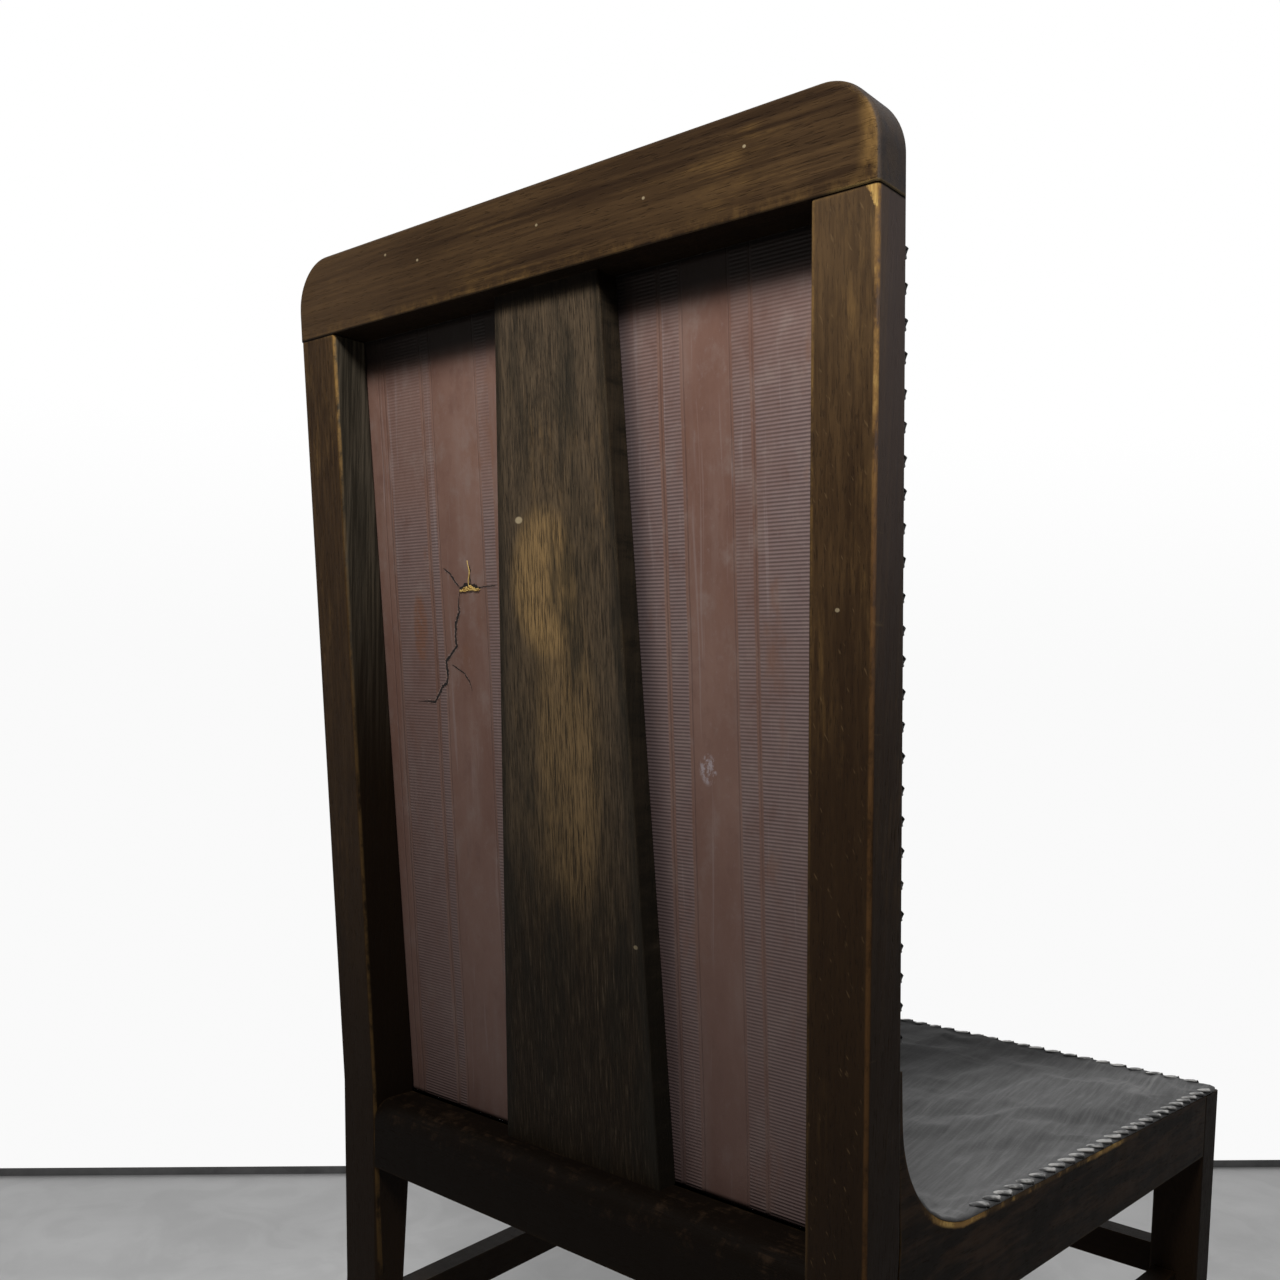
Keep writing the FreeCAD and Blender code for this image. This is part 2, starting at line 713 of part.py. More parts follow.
def build():
    """All pieces by name. Left pieces are made first, and their mirror images stand on the right."""
    post = rear_post()
    leg = front_leg()
    crest = crest_rail()
    splat = back_splat()
    side = side_rail()
    rear = rear_seat_rail(both(post))
    front = front_seat_rail(both(leg))
    low_side = side_stretcher(leg)
    low_front = front_stretcher(both(leg))

    # Tenons of the seat rails lie under the straps' ledge
    foot = rail_bottom + tenon_shoulder - side_rail_drop
    head = rail_bottom + strap_level - fit_clearance
    rear_middle = inner_rear + rear_rail_depth / 2
    leg_middle = front_line + leg_depth / 2
    post_face = outer_x(rail_bottom) - post_width
    leg_face = rail_x(front_line) - leg_width
    rear_bar, rear_slot = cross_tenons(post_face, rear_middle, tenon_thickness,
                                       rail_bottom + tenon_shoulder, head)
    front_bar, front_slot = cross_tenons(leg_face, leg_middle, tenon_thickness, foot, head)
    side_bar, side_slot = side_tenons(rail_thickness / 2, tenon_thickness, foot, head)
    low_front_bar, low_front_slot = cross_tenons(
        leg_face, leg_middle, stretcher_tenon_thickness,
        front_stretcher_top - front_stretcher_height + stretcher_shoulder,
        front_stretcher_top - stretcher_shoulder)
    low_side_bar, low_side_slot = side_tenons(
        side_stretcher_inset + side_stretcher_width / 2, stretcher_tenon_thickness,
        side_stretcher_top - side_stretcher_height + stretcher_shoulder,
        side_stretcher_top - stretcher_shoulder)
    rear = rear.fuse(rear_bar)
    front = front.fuse(front_bar)
    side = side.fuse(side_bar)
    low_front = low_front.fuse(low_front_bar)
    low_side = low_side.fuse(low_side_bar)
    post = post.cut([rear_slot, side_slot, low_side_slot])
    leg = leg.cut([front_slot, side_slot, low_front_slot, low_side_slot])

    # Splat and dowels
    foot_tenon, foot_mortise = splat_tenon_pair(rear_rail_top, splat_width_foot, -1)
    head_tenon, head_mortise = splat_tenon_pair(crest_bottom, splat_width_top, 1)
    splat = splat.fuse([foot_tenon, head_tenon])
    dowels = crest_dowels()
    crest = crest.cut([head_mortise] + second_of(dowels))
    post = post.cut(second_of(dowels))

    # Straps on their ledge, and the corner blocks under them
    lengthwise, crosswise = straps()
    tacks = strap_tacks(lengthwise, crosswise)
    front_block, front_screws = corner_block(inner_front, 1, leg)
    rear_block, rear_screws = corner_block(inner_rear, -1, post)
    screws = front_screws + rear_screws
    holes = second_of(screws)
    tack_holes = second_of(tacks)
    both_holes = [both(hole) for hole in holes]
    rebate = ledge()
    rear = rear.cut([rebate, foot_mortise] + both_holes + tack_holes)
    front = front.cut([rebate] + both_holes + tack_holes)
    side = side.cut([rebate] + holes + tack_holes)
    front_block = front_block.cut(holes)
    rear_block = rear_block.cut(holes)
    lengthwise = [strap.cut(tack_holes) for strap in lengthwise]
    crosswise = [strap.cut(tack_holes) for strap in crosswise]

    # Soft layers inside the rails, notched round the front legs
    leg_notch = plan_prism(leg_room(), 0.0, crest_bottom)
    room = stuffing().cut(both(leg_notch))
    hessian = in_ledge(hessian_level(), hessian_level() + hessian_thickness).cut(both(leg_notch))
    pieces = {
        "crest_rail": crest, "rear_seat_rail": rear, "front_seat_rail": front, "back_splat": splat,
        "front_stretcher": low_front, "crest_dowels": group(first_of(dowels)),
        "corner_block_screws": both(group(first_of(screws))), "webbing_lengthwise": group(lengthwise),
        "webbing_crosswise": group(crosswise), "webbing_tacks": group(first_of(tacks)),
        "seat_hessian": hessian, "seat_wadding": seat_wadding(room), "back_lining": back_lining(),
        "back_wadding": back_wadding(room), "leather_cover": leather_cover(),
        "lacing_front": group(front_edge_lacing()),
    }
    left_pieces = {
        "rear_post": post, "front_leg": leg, "side_rail": side, "side_stretcher": low_side,
        "corner_block_front": front_block, "corner_block_rear": rear_block,
        "lacing_seat": group(seat_edge_lacing()), "lacing_back": group(back_edge_lacing()),
    }
    for name, shape in left_pieces.items():
        pieces[name + "_left"] = shape
        pieces[name + "_right"] = mirrored(shape)
    return pieces


def main():
    os.makedirs("parts", exist_ok=True)
    for name, shape in build().items():
        shape.exportStep("parts/" + name + ".step")
        print(name, len(shape.Solids), shape.isValid(), round(shape.Volume, 1))


main()
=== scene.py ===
import math
import random
from collections import namedtuple

import bpy
from mathutils import Matrix, Vector, noise


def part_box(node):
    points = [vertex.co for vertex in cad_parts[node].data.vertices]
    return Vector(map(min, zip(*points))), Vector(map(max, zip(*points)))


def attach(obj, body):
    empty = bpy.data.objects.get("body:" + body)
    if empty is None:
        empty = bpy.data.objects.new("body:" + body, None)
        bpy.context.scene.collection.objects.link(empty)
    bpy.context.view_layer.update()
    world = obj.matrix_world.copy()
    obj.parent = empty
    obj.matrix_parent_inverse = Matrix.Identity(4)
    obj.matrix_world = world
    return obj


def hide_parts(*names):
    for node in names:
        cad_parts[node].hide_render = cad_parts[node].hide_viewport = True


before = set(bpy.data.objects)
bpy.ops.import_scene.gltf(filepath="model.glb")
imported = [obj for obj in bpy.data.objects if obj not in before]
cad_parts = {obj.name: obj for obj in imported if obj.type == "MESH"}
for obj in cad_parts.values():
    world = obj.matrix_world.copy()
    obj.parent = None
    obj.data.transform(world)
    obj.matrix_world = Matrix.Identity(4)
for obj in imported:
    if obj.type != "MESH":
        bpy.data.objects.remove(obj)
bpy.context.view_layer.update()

# Places of the CAD pieces, in metres
crest_low, crest_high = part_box("crest_rail")
post_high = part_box("rear_post_left")[1]
cover_low, cover_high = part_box("leather_cover")
lining_low, lining_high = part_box("back_lining")
rail_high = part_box("rear_seat_rail")[1]
splat_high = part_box("back_splat")[1]
side_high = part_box("side_rail_left")[1]
hessian_low, hessian_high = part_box("seat_hessian")
long_low, long_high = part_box("webbing_lengthwise")
cross_low, cross_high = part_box("webbing_crosswise")
front_lace_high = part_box("lacing_front")[1]

# Layers of the back and the leather's line
LINING = 0.0012
FELT = 0.0018
LEATHER = 0.0025
THONG = 0.0014
LAYER_GAP = 0.0001
SWEEP = 0.077
SEAT_FALL = 0.011
FRONT_SLOPE = (lining_high.y - lining_low.y - LINING) / (lining_high.z - lining_low.z)
SEAT_FRONT = front_lace_high.z - THONG - LAYER_GAP
SEAT_REAR = SEAT_FRONT + SEAT_FALL
BACK_HALF_TOP = post_high.x
BACK_HALF_SEAT = 0.2155
FRONT_HALF = cover_high.x
POST_FRONT = lining_high.y + FRONT_SLOPE * (SEAT_REAR - lining_high.z)
SPLAY = (FRONT_HALF - BACK_HALF_SEAT) / (POST_FRONT - cover_low.y)
POST_LEAN = (BACK_HALF_TOP - BACK_HALF_SEAT) / (crest_low.z - SEAT_REAR)
POST_WIDTH = 0.0365
POST_DEPTH_TOP = 0.026
POST_DEPTH_SEAT = 0.036
POST_THIN = (POST_DEPTH_TOP - POST_DEPTH_SEAT) / (crest_low.z - SEAT_REAR)
CREST_CORNER = 0.031
LEATHER_INSET = 0.004
LEATHER_CORNER = 0.009


def plane_y(z):
    """Front plane of the posts, where the lining lies."""
    return lining_high.y + FRONT_SLOPE * (z - lining_high.z)


def post_x(z):
    """Outer face of a post above the seat."""
    return BACK_HALF_SEAT + POST_LEAN * (z - SEAT_REAR)


def rail_x(y):
    """Outer face of a side rail."""
    return BACK_HALF_SEAT + SPLAY * (POST_FRONT - y)


# Camera of the photograph, measured from the chair's straight edges
PICTURE = 1280.0
FOCAL_PIXELS = 1240.3
LENS_SHIFT = 0.1
CAMERA_PLACE = Vector((-0.5163, 0.7622, 0.7427))
CAMERA_YAW = 40.63
CAMERA_PITCH = 3.34
CAMERA_ROLL = 1.68
SENSOR = 36.0


def place_camera():
    """Stands the camera behind the chair, on the sitter's right."""
    yaw, pitch, roll = (math.radians(a) for a in (CAMERA_YAW, CAMERA_PITCH, CAMERA_ROLL))
    ahead = Vector((math.sin(yaw) * math.cos(pitch), -math.cos(yaw) * math.cos(pitch), -math.sin(pitch)))
    level = Vector((-math.cos(yaw), -math.sin(yaw), 0.0))
    upward = level.cross(ahead)
    right = level * math.cos(roll) + upward * math.sin(roll)
    upward = upward * math.cos(roll) - level * math.sin(roll)
    turn = Matrix((right, upward, -ahead)).transposed()
    data = bpy.data.cameras.new("camera")
    data.sensor_width = SENSOR
    data.lens = SENSOR * FOCAL_PIXELS / PICTURE
    data.shift_y = LENS_SHIFT
    camera = bpy.data.objects.new("camera", data)
    camera.matrix_world = Matrix.Translation(CAMERA_PLACE) @ turn.to_4x4()
    bpy.context.scene.collection.objects.link(camera)
    bpy.context.scene.camera = camera


# Shader maths, with the outlets used of the coordinate and geometry nodes

OBJECT_PLACE = 3
NORMAL = 1
POINTINESS = 7
BEVEL_SAMPLES = 6


class Socket:
    """A shader socket with arithmetic: numbers through Math, colours and vectors through their own nodes."""

    def __init__(self, tree, socket):
        self.tree = tree
        self.socket = socket

    def math(self, operation, *others, clamp=False):
        """One step of the Math node, with this socket first."""
        node = self.tree.nodes.new("ShaderNodeMath")
        node.operation = operation
        node.use_clamp = clamp
        for number, value in enumerate((self,) + others):
            feed(self.tree, node.inputs[number], value)
        return Socket(self.tree, node.outputs[0])

    def __add__(self, other):
        return self.math("ADD", other)

    def __radd__(self, other):
        return self.math("ADD", other)

    def __sub__(self, other):
        return self.math("SUBTRACT", other)

    def __rsub__(self, other):
        return self.math("MULTIPLY", -1.0).math("ADD", other)

    def __mul__(self, other):
        return self.math("MULTIPLY", other)

    def __rmul__(self, other):
        return self.math("MULTIPLY", other)

    def __truediv__(self, other):
        return self.math("DIVIDE", other)

    def __rtruediv__(self, other):
        return self.math("POWER", -1.0).math("MULTIPLY", other)

    def clamp(self):
        """Held between 0 and 1."""
        return self.math("ADD", 0.0, clamp=True)

    def step(self, low, high):
        """Smooth rise from 0 at low to 1 at high."""
        node = self.tree.nodes.new("ShaderNodeMapRange")
        node.interpolation_type = "SMOOTHSTEP"
        feed(self.tree, node.inputs["Value"], self)
        node.inputs["From Min"].default_value = low
        node.inputs["From Max"].default_value = high
        return Socket(self.tree, node.outputs["Result"])

    def band(self, low, high, soft):
        """1 between low and high, with soft ends."""
        return self.step(low - soft, low + soft) * (1.0 - self.step(high - soft, high + soft))

    def mix(self, first, second):
        """Colour between two, by this socket."""
        node = self.tree.nodes.new("ShaderNodeMix")
        node.data_type = "RGBA"
        feed(self.tree, node.inputs["Factor"], self)
        feed(self.tree, node.inputs["A"], first, colour=True)
        feed(self.tree, node.inputs["B"], second, colour=True)
        return Socket(self.tree, node.outputs["Result"])


def feed(tree, inlet, value, colour=False):
    """Links a socket or sets a plain value."""
    if colour:
        inlet = [i for i in inlet.node.inputs if i.name == inlet.name and i.type == "RGBA"][0]
    if isinstance(value, Socket):
        tree.links.new(value.socket, inlet)
    elif isinstance(value, (tuple, list)) and inlet.type == "RGBA":
        inlet.default_value = tuple(value[:3]) + (1.0,)
    else:
        inlet.default_value = value


def new_node(tree, kind, settings=(), outlet=0, **inlets):
    """One outlet of a new shader node, its inlets named with underscores for spaces."""
    node = tree.nodes.new("ShaderNode" + kind)
    for name, value in dict(settings).items():
        setattr(node, name, value)
    for name, value in inlets.items():
        feed(tree, node.inputs[name.replace("_", " ")], value)
    return Socket(tree, node.outputs[outlet])


def split_axes(vector):
    """The x, y and z of a vector socket."""
    node = vector.tree.nodes.new("ShaderNodeSeparateXYZ")
    vector.tree.links.new(vector.socket, node.inputs[0])
    return [Socket(vector.tree, out) for out in node.outputs]


class Finish:
    """One material: its place sockets, textures and its shader."""

    def __init__(self, name):
        self.material = bpy.data.materials.new(name)
        self.material.use_nodes = True
        self.tree = self.material.node_tree
        self.shader = self.tree.nodes["Principled BSDF"]
        self.place = new_node(self.tree, "TexCoord", outlet=OBJECT_PLACE)
        self.x, self.y, self.z = split_axes(self.place)

    def node(self, kind, settings=(), outlet=0, **inlets):
        """A new node of this material."""
        return new_node(self.tree, kind, settings, outlet, **inlets)

    def vector(self, x, y, z):
        """A vector of three sockets or numbers."""
        return self.node("CombineXYZ", X=x, Y=y, Z=z)

    def stretched(self, x, y, z, shift=0.0):
        """Place scaled by a rate for each axis, in cells per metre."""
        return self.vector(self.x * x + shift, self.y * y + shift, self.z * z + shift)

    def noise(self, place, scale=1.0, detail=4.0, rough=0.55, bend=0.0):
        """Clouds between 0 and 1."""
        return self.node("TexNoise", Vector=place, Scale=scale, Detail=detail, Roughness=rough,
                         Distortion=bend)

    def edges(self, radius):
        """How far the surface turns within a radius: 0 on a flat, rising on an edge."""
        soft = self.node("Bevel", {"samples": BEVEL_SAMPLES}, Radius=radius)
        hard = self.node("NewGeometry", outlet=NORMAL)
        node = self.tree.nodes.new("ShaderNodeVectorMath")
        node.operation = "DOT_PRODUCT"
        self.tree.links.new(soft.socket, node.inputs[0])
        self.tree.links.new(hard.socket, node.inputs[1])
        return 1.0 - Socket(self.tree, node.outputs["Value"])

    def bump(self, height, strength, distance, under=None):
        """Normal bent by a height, over another bump where one is given."""
        inlets = {"Normal": under} if under else {}
        return self.node("Bump", Strength=strength, Distance=distance, Height=height, **inlets)

    def dress(self, **inlets):
        """Sets or links the shader's own sockets."""
        for name, value in inlets.items():
            feed(self.tree, self.shader.inputs[name.replace("_", " ")], value)
        return self.material


# Wood finishes

DARK_STAIN = (0.023, 0.0120, 0.0058)
BROWN_STAIN = (0.083, 0.0465, 0.0195)
GOLDEN_WOOD = (0.33, 0.185, 0.055)
PALE_CHIP = (0.62, 0.41, 0.13)
# Near-black used both for grime and for painted shade
GRIME_AND_SHADE = (0.0060, 0.0035, 0.0018)
SPECK = (0.45, 0.36, 0.22)
WOOD_GLOSS = 0.06
WORN_REACH = 0.0045


def grain_place(finish, axis, across, along, shift):
    """Place stretched so that its cells run along one axis."""
    rates = [across, across, across]
    rates["XYZ".index(axis)] = along
    return finish.stretched(*rates, shift=shift)


def near_point(finish, x, z, reach_x, reach_z):
    """1 at a place seen from behind, fading to 0 at the reach."""
    out_x = (finish.x - x) / reach_x
    out_z = (finish.z - z) / reach_z
    return 1.0 - (out_x * out_x + out_z * out_z).step(0.35, 1.0)


class Wood(Finish):
    """A finish with the fine grain and the scuffs of one stick of wood."""

    def __init__(self, name, axis, shift):
        super().__init__(name)
        self.fine = self.noise(grain_place(self, axis, 430.0, 11.0, shift + 3.0), detail=4.0, rough=0.62)
        self.scuff = self.noise(self.stretched(75.0, 75.0, 50.0, shift + 17.0), detail=6.0, rough=0.72)


def stained_wood(name, axis, shift, dark=DARK_STAIN, brown=BROWN_STAIN, wear=1.0, marks=None,
                 gloss=WOOD_GLOSS):
    """Dark stained wood: grain along an axis, pores, blotches, worn golden edges, and grime with painted
    shade low down.
    """
    finish = Wood(name, axis, shift)
    fine, scuff = finish.fine, finish.scuff
    broad = finish.noise(grain_place(finish, axis, 60.0, 2.6, shift), detail=6.0, bend=0.8)
    pores = finish.noise(grain_place(finish, axis, 1500.0, 110.0, shift + 7.0), detail=1.0).step(0.58, 0.72)
    patch = finish.noise(finish.stretched(8.0, 8.0, 5.0, shift + 11.0), detail=4.0)
    smear = finish.noise(grain_place(finish, axis, 40.0, 12.0, shift + 23.0), detail=5.0, rough=0.7)
    high = finish.z.step(0.40, 0.98)
    tone = broad.step(0.30, 0.70) * 0.40 + fine.step(0.33, 0.70) * 0.60
    # Low down the tone fades to the dark stain and the colour to grime: grime together with painted shade of
    # the light falling from above.
    tone = tone * (patch.step(0.22, 0.68) * 0.6 + 0.4) * (high * 0.92 + 0.08)
    colour = tone.mix(dark, brown)
    colour = ((1.0 - finish.z.step(0.36, 0.86)) * 0.72).mix(colour, GRIME_AND_SHADE)
    gilded = smear.step(0.50, 0.80) * fine.step(0.35, 0.65) * high * 0.30
    colour = gilded.mix(colour, GOLDEN_WOOD)
    colour = (pores * 0.42).mix(colour, GRIME_AND_SHADE)
    edge = finish.edges(WORN_REACH)
    worn = (edge.step(0.015, 0.22) * scuff.step(0.36, 0.60) * (high * 0.85 + 0.15) * wear).clamp()
    colour = (worn * 0.55).mix(colour, GOLDEN_WOOD)
    chipped = (edge.step(0.05, 0.3) * scuff.step(0.60, 0.70) * wear).clamp()
    colour = (chipped * high * 0.7).mix(colour, PALE_CHIP)
    if marks:
        colour = marks(finish, colour)
    rough = 0.46 + scuff * 0.25 + pores * 0.2 - worn * 0.1
    relief = finish.bump(fine * 0.6 - pores * 0.8 + scuff * 0.3, 0.5, 0.0005)
    return finish.dress(Base_Color=colour, Roughness=rough, Normal=relief, Specular_IOR_Level=gloss)


# Marks of single wooden pieces, over the stained colour

CREST_NICKS = ((0.1278, 1.0129), (0.0971, 1.0038), (-0.0061, 1.0021), (-0.0844, 0.9986), (-0.1485, 1.0078))
CREST_LIGHT = (0.140, 0.082, 0.040)
CREST_END_WALL_REFLECTION = (0.052, 0.0475, 0.049)
POST_FLANK_WALL_LIGHT = (0.100, 0.078, 0.073)
POST_EDGE_RED = (0.165, 0.078, 0.026)
POST_LIGHT = (0.150, 0.096, 0.052)
POST_FLECK = (0.235, 0.150, 0.070)
INNER_SIDE_DARK = (0.0210, 0.0190, 0.0140)
INNER_SIDE_LIGHT = (0.078, 0.0660, 0.0480)
SPLAT_FIBRE = (0.168, 0.124, 0.076)
SPLAT_GOLD = (0.310, 0.192, 0.076)
SPLAT_ARCH = (0.014, 0.011, 0.008)
SPLAT_DARK_FIBRE = (0.011, 0.0092, 0.0066)
SPLAT_CLOUD = (0.013, 0.0130, 0.0100)
SPLAT_LOW_FIBRE = (0.085, 0.064, 0.042)
SPLAT_MARGIN = (0.010, 0.0088, 0.0066)
SPLAT_ARRIS = (0.40, 0.270, 0.130)
REAR_RAIL_SCUFF = (0.050, 0.028, 0.015)
SIDE_RAIL_STREAK = (0.036, 0.0190, 0.0092)
SPLAT_MIDDLE = 0.72
SPLAT_MIDDLE_HALF = 0.054
SPLAT_TAPER = 0.05


def crest_marks(finish, colour):
    """Pale nicks, a rubbed lower edge, the end painted grey as a reflection of the white wall, its bare rim,
    and painted shade on the crest's underside.
    """
    scuff = finish.scuff
    behind = finish.y.step(crest_high.y - 0.008, crest_high.y - 0.006)
    for x, z in CREST_NICKS:
        colour = (near_point(finish, x, z, 0.0012, 0.0009) * behind * 0.6).mix(colour, SPECK)
    colour = (finish.x.step(0.08, 0.17) * 0.24).mix(colour, CREST_LIGHT)
    colour = (finish.x.band(-0.10, 0.06, 0.05) * 0.16).mix(colour, DARK_STAIN)
    low = 1.0 - finish.z.step(crest_low.z + 0.002, crest_low.z + 0.009)
    colour = (low * scuff.step(0.42, 0.66) * 0.13).mix(colour, GOLDEN_WOOD)
    near_end = 1.0 - finish.x.step(-0.219, -0.209)
    colour = (near_end * scuff.step(0.36, 0.60) * 0.42).mix(colour, GOLDEN_WOOD)
    rim = finish.edges(0.0026).step(0.01, 0.12) * (1.0 - finish.x.step(-0.205, -0.190))
    rim = rim * scuff.step(0.26, 0.48)
    # The near end face painted grey: a painted reflection of the white wall.
    out = (finish.x.math("ABSOLUTE") - (crest_high.x - CREST_CORNER)).math("MAXIMUM", 0.0)
    over = (finish.z - (crest_high.z - CREST_CORNER)).math("MAXIMUM", 0.0)
    reach = (out * out + over * over).math("SQRT")
    end = reach.step(CREST_CORNER - 0.0016, CREST_CORNER - 0.0006) * out.step(0.012, 0.022)
    colour = (end * 0.8).mix(colour, CREST_END_WALL_REFLECTION)
    colour = (rim * 0.85).mix(colour, PALE_CHIP)
    # Painted shade on the crest's underside.
    under = 1.0 - finish.z.step(crest_low.z + 0.0003, crest_low.z + 0.0016)
    return (under * 0.92).mix(colour, GRIME_AND_SHADE)


def joint_shadow_line(finish, colour):
    """Painted shadow of the recess where a post meets the crest, as a dark line."""
    return finish.z.step(crest_low.z - 0.0011, crest_low.z - 0.0004).mix(colour, GRIME_AND_SHADE)


def post_back(finish):
    """How far in from the back of a post."""
    height = finish.z - SEAT_REAR
    return POST_FRONT + POST_DEPTH_SEAT + height * (FRONT_SLOPE + POST_THIN) - finish.y


def near_post_marks(finish, colour):
    """The pale chip under the crest on the near post, its rubbed edges, its outer side painted grey as the
    white wall's light, one nick and the painted shadow at the joint.
    """
    fine, scuff = finish.fine, finish.scuff
    outer = finish.x + (finish.z - SEAT_REAR) * POST_LEAN + BACK_HALF_SEAT
    back = post_back(finish)
    behind = 1.0 - back.step(0.006, 0.010)
    colour = (near_point(finish, -0.1999, 0.7859, 0.0015, 0.0012) * 0.5).mix(colour, SPECK)
    # The outer side painted grey: painted light of the white wall on that side.
    flank = (1.0 - outer.step(0.0004, 0.0014)) * finish.z.step(0.66, 0.98)
    colour = (flank * 0.8).mix(colour, POST_FLANK_WALL_LIGHT)
    tall = finish.z.step(0.55, 0.95)
    line = 1.0 - (outer.math("MAXIMUM", 0.0) + back.math("MAXIMUM", 0.0)).step(0.0015, 0.0024)
    colour = (line * scuff.step(0.30, 0.56) * (tall * 0.35 + 0.30)).mix(colour, POST_EDGE_RED)
    colour = (line * scuff.step(0.38, 0.60) * finish.z.step(0.80, 0.93) * 0.85).mix(colour, GOLDEN_WOOD)
    colour = (finish.z.step(0.84, 0.96) * behind * 0.22).mix(colour, POST_LIGHT)
    slanting = finish.vector((finish.x - finish.z * 0.5) * 420.0, 1.0, (finish.z + finish.x * 0.5) * 95.0)
    fleck = finish.noise(slanting, detail=2.0).step(0.64, 0.74)
    colour = (fleck * behind * 0.22).mix(colour, POST_FLECK)
    colour = (line * scuff.step(0.54, 0.66) * finish.z.step(0.84, 0.96) * 0.8).mix(colour, PALE_CHIP)
    inner = (1.0 - (outer - POST_WIDTH + 0.0014).math("ABSOLUTE").step(0.0004, 0.0018)) * behind
    inner = inner * scuff.step(0.36, 0.60) * (finish.z.step(0.70, 0.97) * 0.34 + 0.08)
    colour = inner.mix(colour, GOLDEN_WOOD)
    drop = crest_low.z - finish.z
    ragged = (scuff - 0.5) * 0.012 + (fine - 0.5) * 0.006
    chip = (1.0 - (outer + drop * 0.42 + ragged).step(0.0052, 0.0064)) * behind
    chip = chip * outer.step(0.0006, 0.0014)
    colour = (chip * 0.95).mix(colour, fine.step(0.38, 0.62).mix(GOLDEN_WOOD, PALE_CHIP))
    return joint_shadow_line(finish, colour)


def far_post_marks(finish, colour):
    """The far post's dark inner side, darker low down with grime and painted shade, the thin worn line at its
    back edge and the painted shadow at the joint.
    """
    fine, scuff = finish.fine, finish.scuff
    inside = finish.x - ((finish.z - SEAT_REAR) * POST_LEAN + (BACK_HALF_SEAT - POST_WIDTH))
    side = 1.0 - inside.step(0.0004, 0.0016)
    shade = fine.step(0.35, 0.7).mix(INNER_SIDE_DARK, INNER_SIDE_LIGHT)
    # The inner side darker low down: grime together with painted shade.
    shade = (1.0 - finish.z.step(0.66, 0.90)).mix(shade, GRIME_AND_SHADE)
    colour = (side * 0.88).mix(colour, shade)
    corner = inside.math("MAXIMUM", 0.0) + post_back(finish).math("MAXIMUM", 0.0)
    line = (1.0 - corner.step(0.0014, 0.0022)) * scuff.step(0.36, 0.58)
    colour = (line * (finish.z.step(0.84, 0.94) * 0.65 + 0.12)).mix(colour, GOLDEN_WOOD)
    return joint_shadow_line(finish, colour)


def splat_half(finish):
    """Half the splat's width at a height."""
    return SPLAT_MIDDLE_HALF - (finish.z - SPLAT_MIDDLE) * SPLAT_TAPER


def splat_marks(finish, colour):
    """Two golden rubbed spots of the splat, short open grain, faint arched growth lines, dark margins, grime
    with painted shade low down and the crest's painted shadow at its top.
    """
    fine, scuff = finish.fine, finish.scuff
    reach = finish.x.math("ABSOLUTE") / splat_half(finish)
    fibre = finish.noise(finish.stretched(1150.0, 20.0, 58.0, 47.0), detail=5.0, rough=0.68)
    cloud = finish.noise(finish.stretched(34.0, 5.0, 9.0, 41.0), detail=5.0, rough=0.62)
    pale = fibre.step(0.48, 0.70) * (0.18 + finish.z.step(0.80, 0.92) * 0.12)
    colour = pale.mix(colour, SPLAT_FIBRE)
    glow = near_point(finish, 0.010, 0.808, 0.031, 0.050) * 0.85
    glow = glow + near_point(finish, -0.005, 0.706, 0.030, 0.110) * 0.28
    glow = glow + (1.0 - reach.step(0.2, 0.9)) * finish.z.band(0.60, 0.86, 0.07) * 0.14
    gold = glow.clamp() * cloud.step(0.16, 0.58) * (fibre.step(0.34, 0.66) * 0.7 + 0.3)
    colour = (gold * 0.78).mix(colour, SPLAT_GOLD)
    arch = (finish.x - 0.004) * 6.0
    arch = (arch * arch + (finish.z - 0.80) * (finish.z - 0.80) * 2.2).math("SQRT")
    wave = ((arch + fine * 0.004) * 520.0).math("SINE")
    arches = wave.step(0.2, 0.95) * finish.z.step(0.83, 0.86) * (1.0 - finish.z.step(0.92, 0.97))
    colour = (arches * (1.0 - reach.step(0.3, 0.95)) * 0.14).mix(colour, SPLAT_ARCH)
    colour = ((1.0 - fibre.step(0.37, 0.51)) * 0.66).mix(colour, SPLAT_DARK_FIBRE)
    colour = ((1.0 - cloud.step(0.36, 0.54)) * 0.55).mix(colour, SPLAT_CLOUD)
    # Darker low down: grime together with painted shade.
    low = (1.0 - finish.z.step(0.56, 0.70)) * (1.0 - fibre.step(0.45, 0.75) * 0.5)
    colour = (low * 0.6).mix(colour, GRIME_AND_SHADE)
    low_fibre = fibre.step(0.60, 0.76) * (1.0 - finish.z.step(0.58, 0.72))
    colour = (low_fibre * 0.5).mix(colour, SPLAT_LOW_FIBRE)
    colour = (near_point(finish, 0.0286, 0.845, 0.0036, 0.0024) * 0.7).mix(colour, SPECK)
    colour = (near_point(finish, -0.0531, 0.5968, 0.002, 0.0015) * 0.4).mix(colour, SPECK)
    colour = (reach.step(0.80, 0.97) * 0.7).mix(colour, SPLAT_MARGIN)
    worn = finish.edges(0.0018).step(0.03, 0.15) * scuff.step(0.36, 0.54) * finish.z.step(0.55, 0.80)
    colour = (worn * 0.85).mix(colour, SPLAT_ARRIS)
    # Painted shadow of the crest over the splat's top.
    return (finish.z.step(crest_low.z - 0.013, crest_low.z - 0.004) * 0.93).mix(colour, GRIME_AND_SHADE)


def rear_rail_marks(finish, colour):
    """Brown scuffs along the rounded top of the rear rail."""
    fine, scuff = finish.fine, finish.scuff
    high = finish.z.step(rail_high.z - 0.024, rail_high.z - 0.010)
    return (high * scuff.step(0.50, 0.66) * fine.step(0.35, 0.6) * 0.3).mix(colour, REAR_RAIL_SCUFF)


